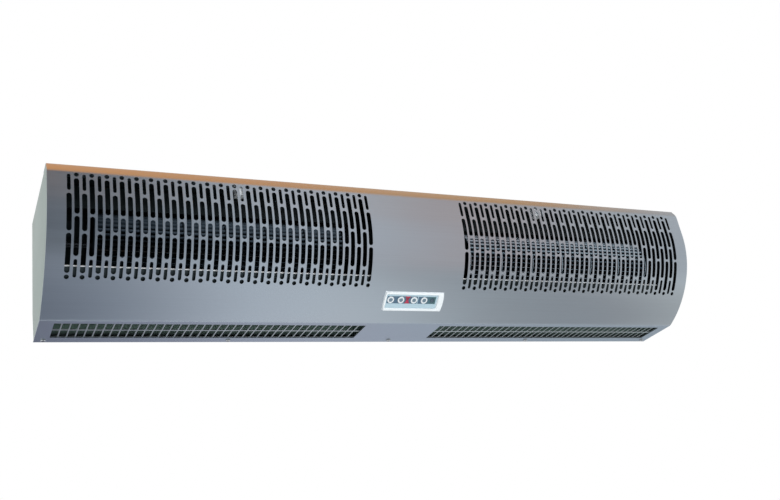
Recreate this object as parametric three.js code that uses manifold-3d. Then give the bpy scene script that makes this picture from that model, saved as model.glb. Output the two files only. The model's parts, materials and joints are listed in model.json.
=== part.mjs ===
// Air curtain for fixing to a wall above a doorway, in millimetres.
//
// Two cross-flow fan wheels turn on one shaft, driven by a motor in the middle bay. Each wheel
// draws air in through a slotted field of the curved front cover and blows it past a heating
// element and down through a grille in the flat bottom.
//
// Frame: +X along the length, +Y towards the wall, +Z up. The origin is on the wall plane, in
// the middle of the wall bracket.
//
// Most pieces are cut from sheet with the same section all along the length, so they are drawn
// as [depth, height] points: depth runs back from the front of the cover and height up from
// its flat bottom. The section group turns that drawing into the frame above.

import * as THREE from 'three';
import { mergeGeometries, mergeVertices } from 'three/addons/utils/BufferGeometryUtils.js';
import Module from 'manifold-3d';

const wasm = await Module();
wasm.setup();

// ---------------------------------------------------------------- driving dimensions

const LENGTH = 1106;              // over the end panels
const DEPTH = 184;                // from the front of the cover to the wall
const COVER_HEIGHT = 193.5;       // from the flat bottom to the top of the cover
const MOUNT_HEIGHT = 120;         // middle of the wall bracket above the flat bottom
const GAP = 0.3;                  // clearance between pieces that meet

const COVER_SHEET = 1;            // thickness of the stainless cover
const CASING_SHEET = 1.2;         // thickness of the painted and plated steel sheets
const CASING_REAR = 181.7;        // depth of the casing's back face

// The cover's outer skin: a bevelled top, a flat upper front, two arcs and a flat bottom.
const TOP_FLANGE_DEPTH = 34;
const BEVEL_DEPTH = 8;
const BEVEL_DROP = 13.5;
const BELLY_TOP = 140.6;          // height at which the flat front ends and the belly begins
const UPPER_RADIUS = 143;
const UPPER_SWEEP = THREE.MathUtils.degToRad(32.85);
const LOWER_RADIUS = 170.4;
const BOTTOM_BEND_DEPTH = 96;
const BOTTOM_EDGE_DEPTH = 176;
// Arc lengths below the belly's top at which the skin's flat facets meet.
const FACET_DROPS = [-6, 27.7, 51.1, 84.9, 117, 157, 177];

// Intake fields: columns alternate between two stacks of openings, each the other upside down.
const FIELD_COLUMNS = 45;
const COLUMN_PITCH = 10;
const FIELD_CENTRE = 305;         // distance of each field's middle from the middle of the cover
const FIELD_MIDDLE_DROP = 39.4;   // arc length from the belly's top to the fields' middle
const LONG_SLOT = { length: 53.2, width: 6.8 };
const SHORT_SLOT = { length: 25, width: 4.8 };
const HOLE_RADIUS = 3.2;
const STACK = [                   // distance down from the field's middle
  { drop: -60.3, opening: SHORT_SLOT },
  { drop: -16.7, opening: LONG_SLOT },
  { drop: 40, opening: LONG_SLOT },
  { drop: 72.2, opening: 'hole' },
];

// Outlets in the flat bottom.
const OUTLET_START = 67;          // from the middle of the cover
const OUTLET_END = 533;
const OUTLET_FRONT = 106.5;
const OUTLET_REAR = 158.5;
const GRILLE_CELLS = 40;
const GRILLE_BAR = 1.8;
const GRILLE_MIDDLE_BAR = 3;
const GRILLE_THICKNESS = 1.2;
const GRILLE_LAP = 1.5;           // how far the grille's rim reaches behind the cover

// Fan chambers and wheels.
const AXIS_DEPTH = 88;
const AXIS_HEIGHT = 112;
const CHAMBER_START = 63;         // inner chamber plate, from the middle
const CHAMBER_END = 537;          // outer chamber plate
const PLATE = 1.2;
const WHEEL_RADIUS = 46;
const WHEEL_START = 113;
const WHEEL_END = 487;
const WHEEL_DISC = 2;
const BLADE_COUNT = 24;
const SHAFT_RADIUS = 5;
const STUB_RADIUS = 4;
const HUB_RADIUS = 14;
const PLATE_BORE = 20.3;          // round hole that a rubber ring's groove fits

// Screws along the bottom edge.
const SCREW_DEPTH = 167.5;
const SCREW_PLACES = [-540.5, -273.5, 0, 273.5, 540.5];

// Control panel, seated on the skin's facet below the middle of the cover.
const PANEL_PLACE = -1.2;         // from the middle of the cover
const BEZEL = { length: 103.5, width: 33, height: 4.2 };
const WINDOW = { left: -48.3, right: 41.7, low: -11.5, high: 12.2 };
const BUTTON_PLACES = [-41, -23, 0, 18];
const BUTTON_LINE = 3;            // the buttons' centres above the middle of the bezel
const BUTTON_RADIUS = 5.6;
const BUTTON_TRAVEL = 0.7;
const INDICATOR_PLACE = -11.7;
const RECEIVER_PLACE = 33;

// Wall bracket and its hooks.
const BRACKET = { length: 860, bottom: 95, top: 145, thickness: 2 };
const HOOK = { root: 128, length: 26, front: 176, thickness: 2, top: 138 };
const HOOK_PLACES = [-320, -110, 110, 320];
const BRACKET_SLOT_PLACES = [-380, -160, 160, 380];
const BRACKET_SLOT = { height: 108, half: 10, radius: 4 };
const HEAD_WINDOW = { half: 14, below: 18, above: 7 };
const LIFT = 12;                  // how far the casing is raised to hang it on the hooks
const GROMMET = { along: 40, height: 160, bore: 5, neck: 9.7, flange: 13 };
const STAY_PLACES = { left: -285, right: 241 };   // spring stays, from the middle of the cover

// ---------------------------------------------------------------- materials

function finish(color, roughness, metalness) {
  return new THREE.MeshStandardMaterial({ color, roughness, metalness });
}

const STAINLESS = finish('#9aa3aa', 0.38, 1);
const PANEL_PAINT = finish('#aab6b1', 0.5, 0);
const PLATED_STEEL = finish('#8f9794', 0.45, 1);
const WHEEL_ALUMINIUM = finish('#b9c4ca', 0.35, 1);
const GRILLE_STEEL = finish('#aeb6ba', 0.4, 1);
const MOTOR_PAINT = finish('#3a3f42', 0.5, 0.2);
const SHAFT_STEEL = finish('#8a8d8f', 0.3, 1);
const RUBBER = finish('#1f2021', 0.8, 0);
const BRONZE = finish('#a2804e', 0.4, 1);
const HEATER_STEEL = finish('#6f716c', 0.45, 1);
const WHITE_PLASTIC = finish('#eef2f3', 0.35, 0);
const LABEL_FILM = finish('#b9cbd6', 0.4, 0);
const BUTTON_PLASTIC = finish('#cfd9de', 0.35, 0);
const RED_LENS = finish('#e0314a', 0.2, 0);
const DARK_LENS = finish('#3c5465', 0.15, 0);
const BOARD_LAMINATE = finish('#2f6b45', 0.5, 0);
const PHENOLIC = finish('#3a2b22', 0.5, 0);
const CAPACITOR_PLASTIC = finish('#d9dadb', 0.45, 0);
const TERMINAL_PLASTIC = finish('#e6e4dc', 0.5, 0);
const SCREW_STEEL = finish('#b4b8ba', 0.3, 1);

// ---------------------------------------------------------------- solids and sheets

// Only positions are kept, one vertex per corner of every triangle.
function bare(geometry) {
  const loose = geometry.index ? geometry.toNonIndexed() : geometry.clone();
  loose.deleteAttribute('normal');
  loose.deleteAttribute('uv');
  return loose;
}

function toSolid(geometry) {
  const merged = mergeVertices(bare(geometry), 1e-4);
  return new wasm.Manifold(new wasm.Mesh({
    numProp: 3,
    vertProperties: new Float32Array(merged.attributes.position.array),
    triVerts: new Uint32Array(merged.index.array),
  }));
}

function toGeometry(solid) {
  const mesh = solid.getMesh();
  const geometry = new THREE.BufferGeometry();
  geometry.setAttribute('position', new THREE.BufferAttribute(mesh.vertProperties, 3));
  geometry.setIndex(new THREE.BufferAttribute(mesh.triVerts, 1));
  return geometry;
}

// The tools of one cut don't touch each other.
function cut(geometry, tools) {
  const tool = toSolid(mergeGeometries(tools.map(bare)));
  return toGeometry(toSolid(geometry).subtract(tool));
}

function join(geometries) {
  const [first, ...others] = geometries.map(toSolid);
  return toGeometry(others.reduce((whole, solid) => whole.add(solid), first));
}

// A path moved sideways, to its left as it is followed, with square corners kept sharp.
function offset(path, distance, closed = false) {
  const count = path.length;
  const leftOf = (index) => {
    const [ax, ay] = path[index];
    const [bx, by] = path[(index + 1) % count];
    const run = Math.hypot(bx - ax, by - ay);
    return [(ay - by) / run, (bx - ax) / run];
  };
  return path.map(([x, y], index) => {
    const before = index > 0 || closed ? leftOf((index + count - 1) % count) : leftOf(0);
    const after = index < count - 1 || closed ? leftOf(index) : leftOf(count - 2);
    const reach = distance / (1 + before[0] * after[0] + before[1] * after[1]);
    return [x + reach * (before[0] + after[0]), y + reach * (before[1] + after[1])];
  });
}

// A flat outline, with any holes, drawn out lengthwise from start to end.
function extrude(outline, start, end, holes = []) {
  const points = (list) => list.map(([x, y]) => new THREE.Vector2(x, y));
  const shape = new THREE.Shape(points(outline));
  holes.forEach((hole) => shape.holes.push(new THREE.Path(points(hole))));
  const geometry = new THREE.ExtrudeGeometry(shape, { depth: end - start, bevelEnabled: false });
  return geometry.translate(0, 0, start);
}

function bentSheet(path, thickness, start, end) {
  return extrude([...path, ...offset(path, thickness).reverse()], start, end);
}

function box(from, to) {
  const [dx, dy, dz] = to.map((high, axis) => high - from[axis]);
  const geometry = new THREE.BoxGeometry(dx, dy, dz);
  return geometry.translate(from[0] + dx / 2, from[1] + dy / 2, from[2] + dz / 2);
}

// A polygon close to a circle.
function ring(x, y, radius, sides) {
  return Array.from({ length: sides }, (_, index) => {
    const angle = (index * 2 * Math.PI) / sides;
    return [x + radius * Math.cos(angle), y + radius * Math.sin(angle)];
  });
}

// A round rod along the length, centred on its own axis.
function rod(radius, start, end, sides = 12) {
  return extrude(ring(0, 0, radius, sides), start, end);
}

// A turned piece round the lengthwise axis: [radius, place along the axis] points, closed.
function turned(profile, sides) {
  const points = [...profile, profile[0]].map(([radius, along]) => new THREE.Vector2(radius, along));
  return new THREE.LatheGeometry(points, sides).rotateX(Math.PI / 2);
}

// ---------------------------------------------------------------- the section

// Point of the curved skin at an arc length below the belly's top. Tilt is the angle by which
// the skin has turned from upright towards the flat bottom.
function skin(drop) {
  if (drop <= 0) {
    return { depth: 0, height: BELLY_TOP - drop, tilt: 0 };
  }
  const upperLength = UPPER_RADIUS * UPPER_SWEEP;
  if (drop <= upperLength) {
    const tilt = drop / UPPER_RADIUS;
    return {
      depth: UPPER_RADIUS * (1 - Math.cos(tilt)),
      height: BELLY_TOP - UPPER_RADIUS * Math.sin(tilt),
      tilt,
    };
  }
  const start = skin(upperLength);
  const tilt = UPPER_SWEEP + (drop - upperLength) / LOWER_RADIUS;
  return {
    depth: start.depth + LOWER_RADIUS * (Math.cos(UPPER_SWEEP) - Math.cos(tilt)),
    height: start.height - LOWER_RADIUS * (Math.sin(tilt) - Math.sin(UPPER_SWEEP)),
    tilt,
  };
}

const COVER_PATH = [
  [TOP_FLANGE_DEPTH, COVER_HEIGHT],
  [BEVEL_DEPTH, COVER_HEIGHT],
  [0, COVER_HEIGHT - BEVEL_DROP],
  ...FACET_DROPS.map(skin).map(({ depth, height }) => [depth, height]),
  [BOTTOM_BEND_DEPTH, 0],
  [BOTTOM_EDGE_DEPTH, 0],
];

const CASING_TOP = COVER_HEIGHT - COVER_SHEET - GAP;
const CASING_FLOOR = COVER_SHEET + GAP;
const CASING_CHAMFER = { height: 44, depth: 171 };

// The end panels' outline: just inside the cover, and along the casing's outside.
const END_OUTLINE = [
  ...offset(COVER_PATH, COVER_SHEET + GAP).slice(1, -1),
  [CASING_CHAMFER.depth, CASING_FLOOR],
  [CASING_REAR, CASING_CHAMFER.height],
  [CASING_REAR, CASING_TOP],
];

// ---------------------------------------------------------------- casing pieces

function openingTools(column, along) {
  const upsideDown = column % 2 === 0 ? 1 : -1;
  return STACK.map(({ drop, opening }) => {
    const { depth, height, tilt } = skin(FIELD_MIDDLE_DROP + upsideDown * drop);
    const tool = opening === 'hole'
      ? new THREE.CylinderGeometry(HOLE_RADIUS, HOLE_RADIUS, 12, 6).rotateZ(Math.PI / 2)
      : new THREE.BoxGeometry(12, opening.length, opening.width);
    return tool.rotateZ(tilt).translate(depth, height, along);
  });
}

function screwHoles(radius) {
  return SCREW_PLACES.map((along) => {
    const tool = new THREE.CylinderGeometry(radius, radius, 12, 6);
    return tool.translate(SCREW_DEPTH, 0, along);
  });
}

function frontCover() {
  const tools = screwHoles(2.1);
  for (const centre of [-FIELD_CENTRE, FIELD_CENTRE]) {
    for (let column = 0; column < FIELD_COLUMNS; column += 1) {
      const along = centre + (column - (FIELD_COLUMNS - 1) / 2) * COLUMN_PITCH;
      tools.push(...openingTools(column, along));
    }
  }
  for (const [start, end] of [[-OUTLET_END, -OUTLET_START], [OUTLET_START, OUTLET_END]]) {
    tools.push(box([OUTLET_FRONT, -5, start], [OUTLET_REAR, 5, end]));
  }
  tools.push(panelCutout());
  return cut(bentSheet(COVER_PATH, COVER_SHEET, -LENGTH / 2, LENGTH / 2), tools);
}

// A tray: a plate with a rim turned in all round, which the cover and the casing wrap.
function endPanel() {
  const rimOutside = offset(END_OUTLINE, CASING_SHEET + GAP, true);
  const rimInside = offset(rimOutside, CASING_SHEET, true);
  const rimDepth = 10;
  return join([
    extrude(END_OUTLINE, 0, CASING_SHEET),
    extrude(rimOutside, CASING_SHEET / 2, rimDepth, [rimInside]),
  ]);
}

// Back, top and rear edge of the bottom in one sheet, with a fold down at the front.
function rearCasing() {
  const foldDepth = 18;
  const foldHeight = 12;
  const floorFront = 163;
  const path = [
    [foldDepth, CASING_TOP - foldHeight],
    [foldDepth, CASING_TOP],
    [CASING_REAR, CASING_TOP],
    [CASING_REAR, CASING_CHAMFER.height],
    [CASING_CHAMFER.depth, CASING_FLOOR],
    [floorFront, CASING_FLOOR],
  ];
  const end = LENGTH / 2 - CASING_SHEET - GAP;
  const shell = bentSheet(path, -CASING_SHEET, -end, end);
  // The slots reach lower than the hooks, so that the casing can be lifted on and let down.
  const slotBottom = HOOK.root - LIFT;
  const slotTop = HOOK.root + HOOK.thickness + GAP;
  const slotHalf = HOOK.length / 2 + 2;
  const hookSlots = HOOK_PLACES.map((along) => {
    const low = [CASING_REAR - 5, slotBottom, along - slotHalf];
    return box(low, [CASING_REAR + 5, slotTop, along + slotHalf]);
  });
  // Windows that clear the heads of the wall screws, also while the casing is raised.
  const headWindows = BRACKET_SLOT_PLACES.map((along) => {
    const low = [CASING_REAR - 5, BRACKET_SLOT.height - HEAD_WINDOW.below, along - HEAD_WINDOW.half];
    const top = BRACKET_SLOT.height + HEAD_WINDOW.above;
    return box(low, [CASING_REAR + 5, top, along + HEAD_WINDOW.half]);
  });
  const grommetHole = new THREE.CylinderGeometry(10, 10, 10, 12).rotateZ(Math.PI / 2);
  grommetHole.translate(CASING_REAR, GROMMET.height, GROMMET.along);
  // The front fold stops short of the end panels' rims.
  const foldEnd = end - 13.5;
  const foldTop = CASING_TOP - CASING_SHEET;
  const foldEnds = [[-end - 5, -foldEnd], [foldEnd, end + 5]].map(([from, to]) => {
    return box([foldDepth - 2, foldTop - 20, from], [foldDepth + 3, foldTop, to]);
  });
  const tools = [...hookSlots, ...headWindows, grommetHole, ...foldEnds, ...screwHoles(2.1)];
  return cut(shell, tools);
}

// A strip against the wall, with hooks that stand forward and turn up.
function wallBracket() {
  const { length, bottom, top, thickness } = BRACKET;
  const front = DEPTH - thickness;
  const plate = box([front, bottom, -length / 2], [DEPTH, top, length / 2]);
  const profile = [
    [front + thickness / 2, HOOK.root],
    [front + thickness / 2, HOOK.root + HOOK.thickness],
    [HOOK.front + HOOK.thickness, HOOK.root + HOOK.thickness],
    [HOOK.front + HOOK.thickness, HOOK.top],
    [HOOK.front, HOOK.top],
    [HOOK.front, HOOK.root],
  ];
  const hooks = HOOK_PLACES.map((along) => {
    return extrude(profile, along - HOOK.length / 2, along + HOOK.length / 2);
  });
  const slots = BRACKET_SLOT_PLACES.map((along) => {
    const { height, half, radius } = BRACKET_SLOT;
    const low = [front - 2, height - radius, along - half];
    return box(low, [DEPTH + 2, height + radius, along + half]);
  });
  return cut(join([plate, ...hooks]), slots);
}

function outletGrille() {
  const length = OUTLET_END - OUTLET_START;
  const low = COVER_SHEET + GAP;
  const blank = box(
    [OUTLET_FRONT - GRILLE_LAP, low, -GRILLE_LAP],
    [OUTLET_REAR + GRILLE_LAP, low + GRILLE_THICKNESS, length + GRILLE_LAP],
  );
  const pitch = (length + GRILLE_BAR) / GRILLE_CELLS;
  const middle = (OUTLET_FRONT + OUTLET_REAR) / 2;
  const rows = [
    [OUTLET_FRONT + 1, middle - GRILLE_MIDDLE_BAR / 2],
    [middle + GRILLE_MIDDLE_BAR / 2, OUTLET_REAR - 1],
  ];
  const cells = [];
  for (let cell = 0; cell < GRILLE_CELLS; cell += 1) {
    const start = cell * pitch;
    for (const [front, rear] of rows) {
      cells.push(box([front, 0, start], [rear, 10, start + pitch - GRILLE_BAR]));
    }
  }
  return cut(blank, cells);
}

// ---------------------------------------------------------------- fan chamber pieces

const CHAMBER_INSET = 0.4;
const CHAMBER_LENGTH = CHAMBER_END - CHAMBER_START - PLATE - 2 * CHAMBER_INSET;
const SHEET_FOOT_HEIGHT = 5.2;

// Rear wall of the chamber: hangs from the casing's top, widens round the wheel and runs down
// to the rear edge of the outlet.
function scroll() {
  const steps = 10;
  const first = THREE.MathUtils.degToRad(125);
  const lip = WHEEL_RADIUS + 6;
  const growth = 17;
  const spiral = Array.from({ length: steps + 1 }, (_, step) => {
    const angle = first * (1 - step / steps);
    const radius = lip + (growth * step) / steps;
    return [AXIS_DEPTH + radius * Math.cos(angle), AXIS_HEIGHT + radius * Math.sin(angle)];
  });
  const path = [
    [70, CASING_TOP - CASING_SHEET - GAP - 1],
    [56, CASING_TOP - CASING_SHEET - GAP - 1],
    ...spiral,
    [OUTLET_REAR + 1.1, SHEET_FOOT_HEIGHT],
    [168.5, SHEET_FOOT_HEIGHT],
  ];
  return bentSheet(path, 1, 0, CHAMBER_LENGTH);
}

// Front wall of the outlet duct: up from the outlet to a lip under the wheel, then forward to
// the edge that shows behind the lowest openings, and down along the cover.
function airGuide() {
  const path = [
    [96, SHEET_FOOT_HEIGHT],
    [OUTLET_FRONT - 1.1, SHEET_FOOT_HEIGHT],
    [80, 56],
    [66, 66],
    [34.5, 54.4],
    [55, 32],
  ];
  return bentSheet(path, 1, 0, CHAMBER_LENGTH);
}

// The right guide's front fold stops short, where the mains leads pass to the middle bay.
function airGuideWithWireway() {
  const start = WHEEL_END - CHAMBER_START;
  return cut(airGuide(), [box([20, 20, start], [62, 70, CHAMBER_LENGTH + 5])]);
}

// A plate that closes one end of a chamber, notched round the casing's front fold and its floor.
function chamberPlate() {
  const outline = offset(END_OUTLINE, CASING_SHEET + 2 * GAP, true);
  const blank = extrude(outline, 0, PLATE, [ring(AXIS_DEPTH, AXIS_HEIGHT, PLATE_BORE, 12)]);
  const foldNotch = box([17, 178, -5], [20, 200, 5]);
  const floorNotch = box([161.5, -5, -5], [175, 6.6, 5]);
  return cut(blank, [foldNotch, floorNotch]);
}

function fanWheel(hubAtStart) {
  const length = WHEEL_END - WHEEL_START;
  const disc = (bore, start) => {
    const rim = ring(0, 0, WHEEL_RADIUS, BLADE_COUNT);
    return extrude(rim, start, start + WHEEL_DISC, [ring(0, 0, bore, 12)]);
  };
  const hubBore = HUB_RADIUS + GAP;
  const stubBore = STUB_RADIUS + GAP;
  const blades = Array.from({ length: BLADE_COUNT }, (_, index) => {
    const turn = (index * 2 * Math.PI) / BLADE_COUNT;
    const at = (radius, lean) => [radius * Math.cos(turn + lean), radius * Math.sin(turn + lean)];
    const strip = [at(38, 0), at(45, 0.13), at(45, 0.15), at(38, 0.022)];
    return extrude(strip, WHEEL_DISC / 2, length - WHEEL_DISC / 2);
  });
  return join([
    disc(hubAtStart ? hubBore : stubBore, 0),
    mergeGeometries(blades.map(bare)),
    disc(hubAtStart ? stubBore : hubBore, length - WHEEL_DISC),
  ]);
}

// A flanged rubber bush that grips the motor shaft and fills the wheel's bore. Its origin is on
// the wheel's end face.
function wheelHub() {
  const bore = SHAFT_RADIUS + GAP;
  return turned([
    [bore, -2.7],
    [HUB_RADIUS + 4, -2.7],
    [HUB_RADIUS + 4, -GAP],
    [HUB_RADIUS, -GAP],
    [HUB_RADIUS, 12],
    [bore, 12],
  ], 12);
}

// A rubber ring with a groove for the edge of a plate's round hole, centred on that plate.
function grooveRing(bore, plate) {
  const half = plate / 2 + GAP;
  return turned([
    [bore, -5],
    [24, -5],
    [24, -half],
    [PLATE_BORE - GAP - 0.4, -half],
    [PLATE_BORE - GAP - 0.4, half],
    [24, half],
    [24, 5],
    [bore, 5],
  ], 12);
}

function endBearing() {
  const bore = STUB_RADIUS + GAP;
  return turned([[bore, -5.5], [10, -5.5], [10, 5.5], [bore, 5.5]], 12);
}

function stubShaft() {
  return rod(STUB_RADIUS, -12, CHAMBER_END - WHEEL_END + 8);
}

// ---------------------------------------------------------------- motor

const MOTOR = { radius: 44, half: 42, boss: 16, bossEnd: 56, mount: 50 };

function motorHousing() {
  const shaftClearance = SHAFT_RADIUS + 1.5;
  const { radius, half, boss, bossEnd } = MOTOR;
  return turned([
    [shaftClearance, -bossEnd],
    [boss, -bossEnd],
    [boss, -half - 2],
    [radius - 5, -half],
    [radius, -half + 5],
    [radius, half - 5],
    [radius - 5, half],
    [boss, half + 2],
    [boss, bossEnd],
    [shaftClearance, bossEnd],
    [shaftClearance, half - 6],
    [radius - 17, half - 6],
    [radius - 17, -half + 6],
    [shaftClearance, -half + 6],
  ], 12);
}

function motorRotor() {
  return turned([[SHAFT_RADIUS + GAP, -32], [26, -32], [26, 32], [SHAFT_RADIUS + GAP, 32]], 12);
}

// A base against the casing's back, with two arms that fork round the motor's rubber rings.
function motorBracket() {
  const arm = (place) => cut(
    extrude([[70, 84], [176.5, 84], [176.5, 140], [70, 140]], place - 1.2, place + 1.2),
    [join([
      extrude(ring(AXIS_DEPTH, AXIS_HEIGHT, PLATE_BORE, 12), place - 5, place + 5),
      box([60, AXIS_HEIGHT - 12, place - 5], [AXIS_DEPTH, AXIS_HEIGHT + 12, place + 5]),
    ])],
  );
  return join([
    arm(-MOTOR.mount),
    arm(MOTOR.mount),
    box([175.5, 84, -60], [178, 140, 60]),
  ]);
}

// ---------------------------------------------------------------- heating

const HEATER = { front: 126, rear: 142, height: 34, radius: 4, start: 84, end: 516 };

// A hairpin tube: two long legs and a short end bend.
function heater() {
  const { front, rear, height, radius, start, end } = HEATER;
  const leg = (depth) => extrude(ring(depth, height, radius, 8), start, end);
  const bend = new THREE.CylinderGeometry(radius, radius, rear - front, 8).rotateZ(Math.PI / 2);
  bend.translate((front + rear) / 2, height, end - radius);
  return join([leg(front), leg(rear), bend]);
}

// A plate with two holes for the legs, and a foot against the duct's rear wall.
function heaterHolder() {
  const { front, rear, height, radius } = HEATER;
  const bores = [front, rear].map((depth) => ring(depth, height, radius + GAP, 8));
  const outline = [[116, 25], [158, 25], [158, 43], [116, 43]];
  return join([
    extrude(outline, 0, PLATE, bores),
    box([156.8, 25, PLATE / 2], [158, 43, 14]),
  ]);
}

function safetyCutout() {
  return join([
    rod(8.5, 0, 5),
    box([-3, -13, 0], [3, 13, 1]),
  ]);
}

// ---------------------------------------------------------------- control panel

// The facet that the panel sits on: its middle, and how far it leans from upright.
const PANEL_SEAT = (() => {
  const [upper, lower] = [skin(FACET_DROPS[4]), skin(FACET_DROPS[5])];
  return {
    depth: (upper.depth + lower.depth) / 2,
    height: (upper.height + lower.height) / 2,
    tilt: Math.atan2(lower.depth - upper.depth, upper.height - lower.height),
  };
})();

// In the panel's own frame x runs along the length, y up the skin and z out of it.
const FLOOR_TOP = 1.6;
const FLOOR_UNDER = 0.2;
const SKIRT_WALL = 1.2;
const BOARD_TOP = -7.4;
const SWITCH_HEIGHT = 3.6;
const BUTTON_FOOT = BOARD_TOP + SWITCH_HEIGHT + BUTTON_TRAVEL + 0.1;

// A block as large as the bezel's window, grown by a margin on its four sides.
function windowBlock(margin, low, high) {
  return box(
    [WINDOW.left - margin, WINDOW.low - margin, low],
    [WINDOW.right + margin, WINDOW.high + margin, high],
  );
}

// The hole in the cover that the bezel's skirt goes through, in the section's frame.
function panelCutout() {
  const tool = windowBlock(SKIRT_WALL + GAP, -6, 6).rotateY(-Math.PI / 2);
  tool.rotateZ(PANEL_SEAT.tilt);
  return tool.translate(PANEL_SEAT.depth, PANEL_SEAT.height, PANEL_PLACE);
}

function roundTool(radius, along, sides = 12) {
  return extrude(ring(along, BUTTON_LINE, radius, sides), -20, 20);
}

// The indicator fills the space between two round buttons, so its sides curve in.
function hourglass(width, height, waist) {
  const steps = 4;
  const side = (sign) => Array.from({ length: steps + 1 }, (_, step) => {
    const across = ((step / steps) * 2 - 1) * sign;
    const half = waist / 2 + ((width - waist) / 2) * across * across;
    return [sign * half, (across * height) / 2];
  });
  return [...side(1), ...side(-1)];
}

function panelHoles() {
  const shifted = hourglass(10.1, 12.6, 4.6).map(([x, y]) => {
    return [x + INDICATOR_PLACE, y + BUTTON_LINE];
  });
  return [
    ...BUTTON_PLACES.map((along) => roundTool(BUTTON_RADIUS + GAP, along)),
    extrude(shifted, -20, 20),
    roundTool(3.8, RECEIVER_PLACE, 8),
  ];
}

// A raised frame with sloping sides, a floor with the holes, and a skirt through the cover.
function controlBezel() {
  const { length, width, height } = BEZEL;
  const slope = 1.2;
  const outline = [
    [-width / 2, GAP],
    [width / 2, GAP],
    [width / 2 - slope, height],
    [-width / 2 + slope, height],
  ];
  const raised = extrude(outline, -length / 2, length / 2);
  raised.rotateX(Math.PI / 2).rotateZ(Math.PI / 2);
  const body = join([raised, windowBlock(SKIRT_WALL, -9, GAP + 0.5)]);
  const hollowed = cut(body, [
    windowBlock(0, FLOOR_TOP, 20),
    windowBlock(0, -20, FLOOR_UNDER),
  ]);
  return cut(hollowed, panelHoles());
}

function labelPlate() {
  const low = FLOOR_TOP + GAP;
  return cut(windowBlock(-GAP, low, low + 0.5), panelHoles());
}

// A round cap that stands just proud of the label, with a collar under the bezel's floor.
function button() {
  const collarTop = FLOOR_UNDER - GAP;
  return join([
    rod(BUTTON_RADIUS, BUTTON_FOOT, FLOOR_TOP + 1.7),
    rod(BUTTON_RADIUS + 1, collarTop - 1.2, collarTop),
  ]);
}

function indicatorLens() {
  return extrude(hourglass(9.5, 12, 4), FLOOR_UNDER, FLOOR_TOP + 1.1);
}

function receiverWindow() {
  return rod(3.4, FLOOR_UNDER, FLOOR_TOP + 1, 8);
}

// Four switches stand on the board, one under each button.
function controlBoard() {
  const switches = BUTTON_PLACES.map((along) => {
    const low = [along - 3, BUTTON_LINE - 3, BOARD_TOP - 0.5];
    return box(low, [along + 3, BUTTON_LINE + 3, BOARD_TOP + SWITCH_HEIGHT]);
  });
  return join([windowBlock(-2 * GAP, BOARD_TOP - 1.6, BOARD_TOP), ...switches]);
}

// ---------------------------------------------------------------- electrical pieces

function relayBoard() {
  return join([
    box([169.4, 16, -54], [171, 76, 54]),
    box([152, 22, -48], [170, 38, -20]),
    box([152, 42, -48], [170, 58, -20]),
    box([146, 22, 2], [170, 56, 44]),
  ]);
}

function runCapacitor() {
  return extrude(ring(122, 46, 14, 12), -CHAMBER_START + GAP, -16);
}

function terminalBlock() {
  const body = box([94, 18, 36], [142, 32, CHAMBER_START - GAP]);
  const wells = [103, 113, 123, 133].map((depth) => {
    return new THREE.CylinderGeometry(2.4, 2.4, 12, 6).translate(depth, 34, 46);
  });
  return cut(body, wells);
}

function cableGrommet() {
  const { bore, neck, flange } = GROMMET;
  return turned([
    [bore, -4.4],
    [flange, -4.4],
    [flange, -1.5],
    [neck, -1.5],
    [neck, GAP],
    [flange, GAP],
    [flange, 1.9],
    [bore, 1.9],
  ], 12).rotateY(Math.PI / 2);
}

// A bent strip on the casing's front edge that steadies the cover behind the intake.
function coverStay() {
  const path = [[16.7, 190], [16.7, 162], [3.5, 162], [3.5, 176]];
  return bentSheet(path, -1, -6, 6);
}

// A pan head under the cover's edge, and a shank up through the cover and the casing.
function coverScrew() {
  const headHeight = 1.8;
  const shankLength = 5;
  const shank = new THREE.CylinderGeometry(1.7, 1.7, shankLength, 6);
  return join([
    new THREE.CylinderGeometry(3.6, 3, headHeight, 10).translate(0, -headHeight / 2 - GAP, 0),
    shank.translate(0, shankLength / 2 - GAP - 0.5, 0),
  ]);
}

// ---------------------------------------------------------------- assembly

const airCurtain = new THREE.Group();

// Depth runs along +Y, height along +Z and the length along +X.
const section = new THREE.Group();
section.quaternion.setFromRotationMatrix(new THREE.Matrix4().set(
  0, 0, 1, 0,
  1, 0, 0, 0,
  0, 1, 0, 0,
  0, 0, 0, 1,
));
section.position.set(0, -DEPTH, -MOUNT_HEIGHT);
airCurtain.add(section);

function place(group, name, geometry, material, position = [0, 0, 0]) {
  const mesh = new THREE.Mesh(geometry, material.clone());
  mesh.name = name;
  mesh.position.set(...position);
  group.add(mesh);
  return mesh;
}

const SIDES = [
  { side: 'left', sign: -1 },
  { side: 'right', sign: 1 },
];
const onAxis = (along) => [AXIS_DEPTH, AXIS_HEIGHT, along];

place(section, 'front_cover', frontCover(), STAINLESS);
place(section, 'rear_casing', rearCasing(), PLATED_STEEL);
place(section, 'wall_bracket', wallBracket(), PLATED_STEEL);

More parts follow.
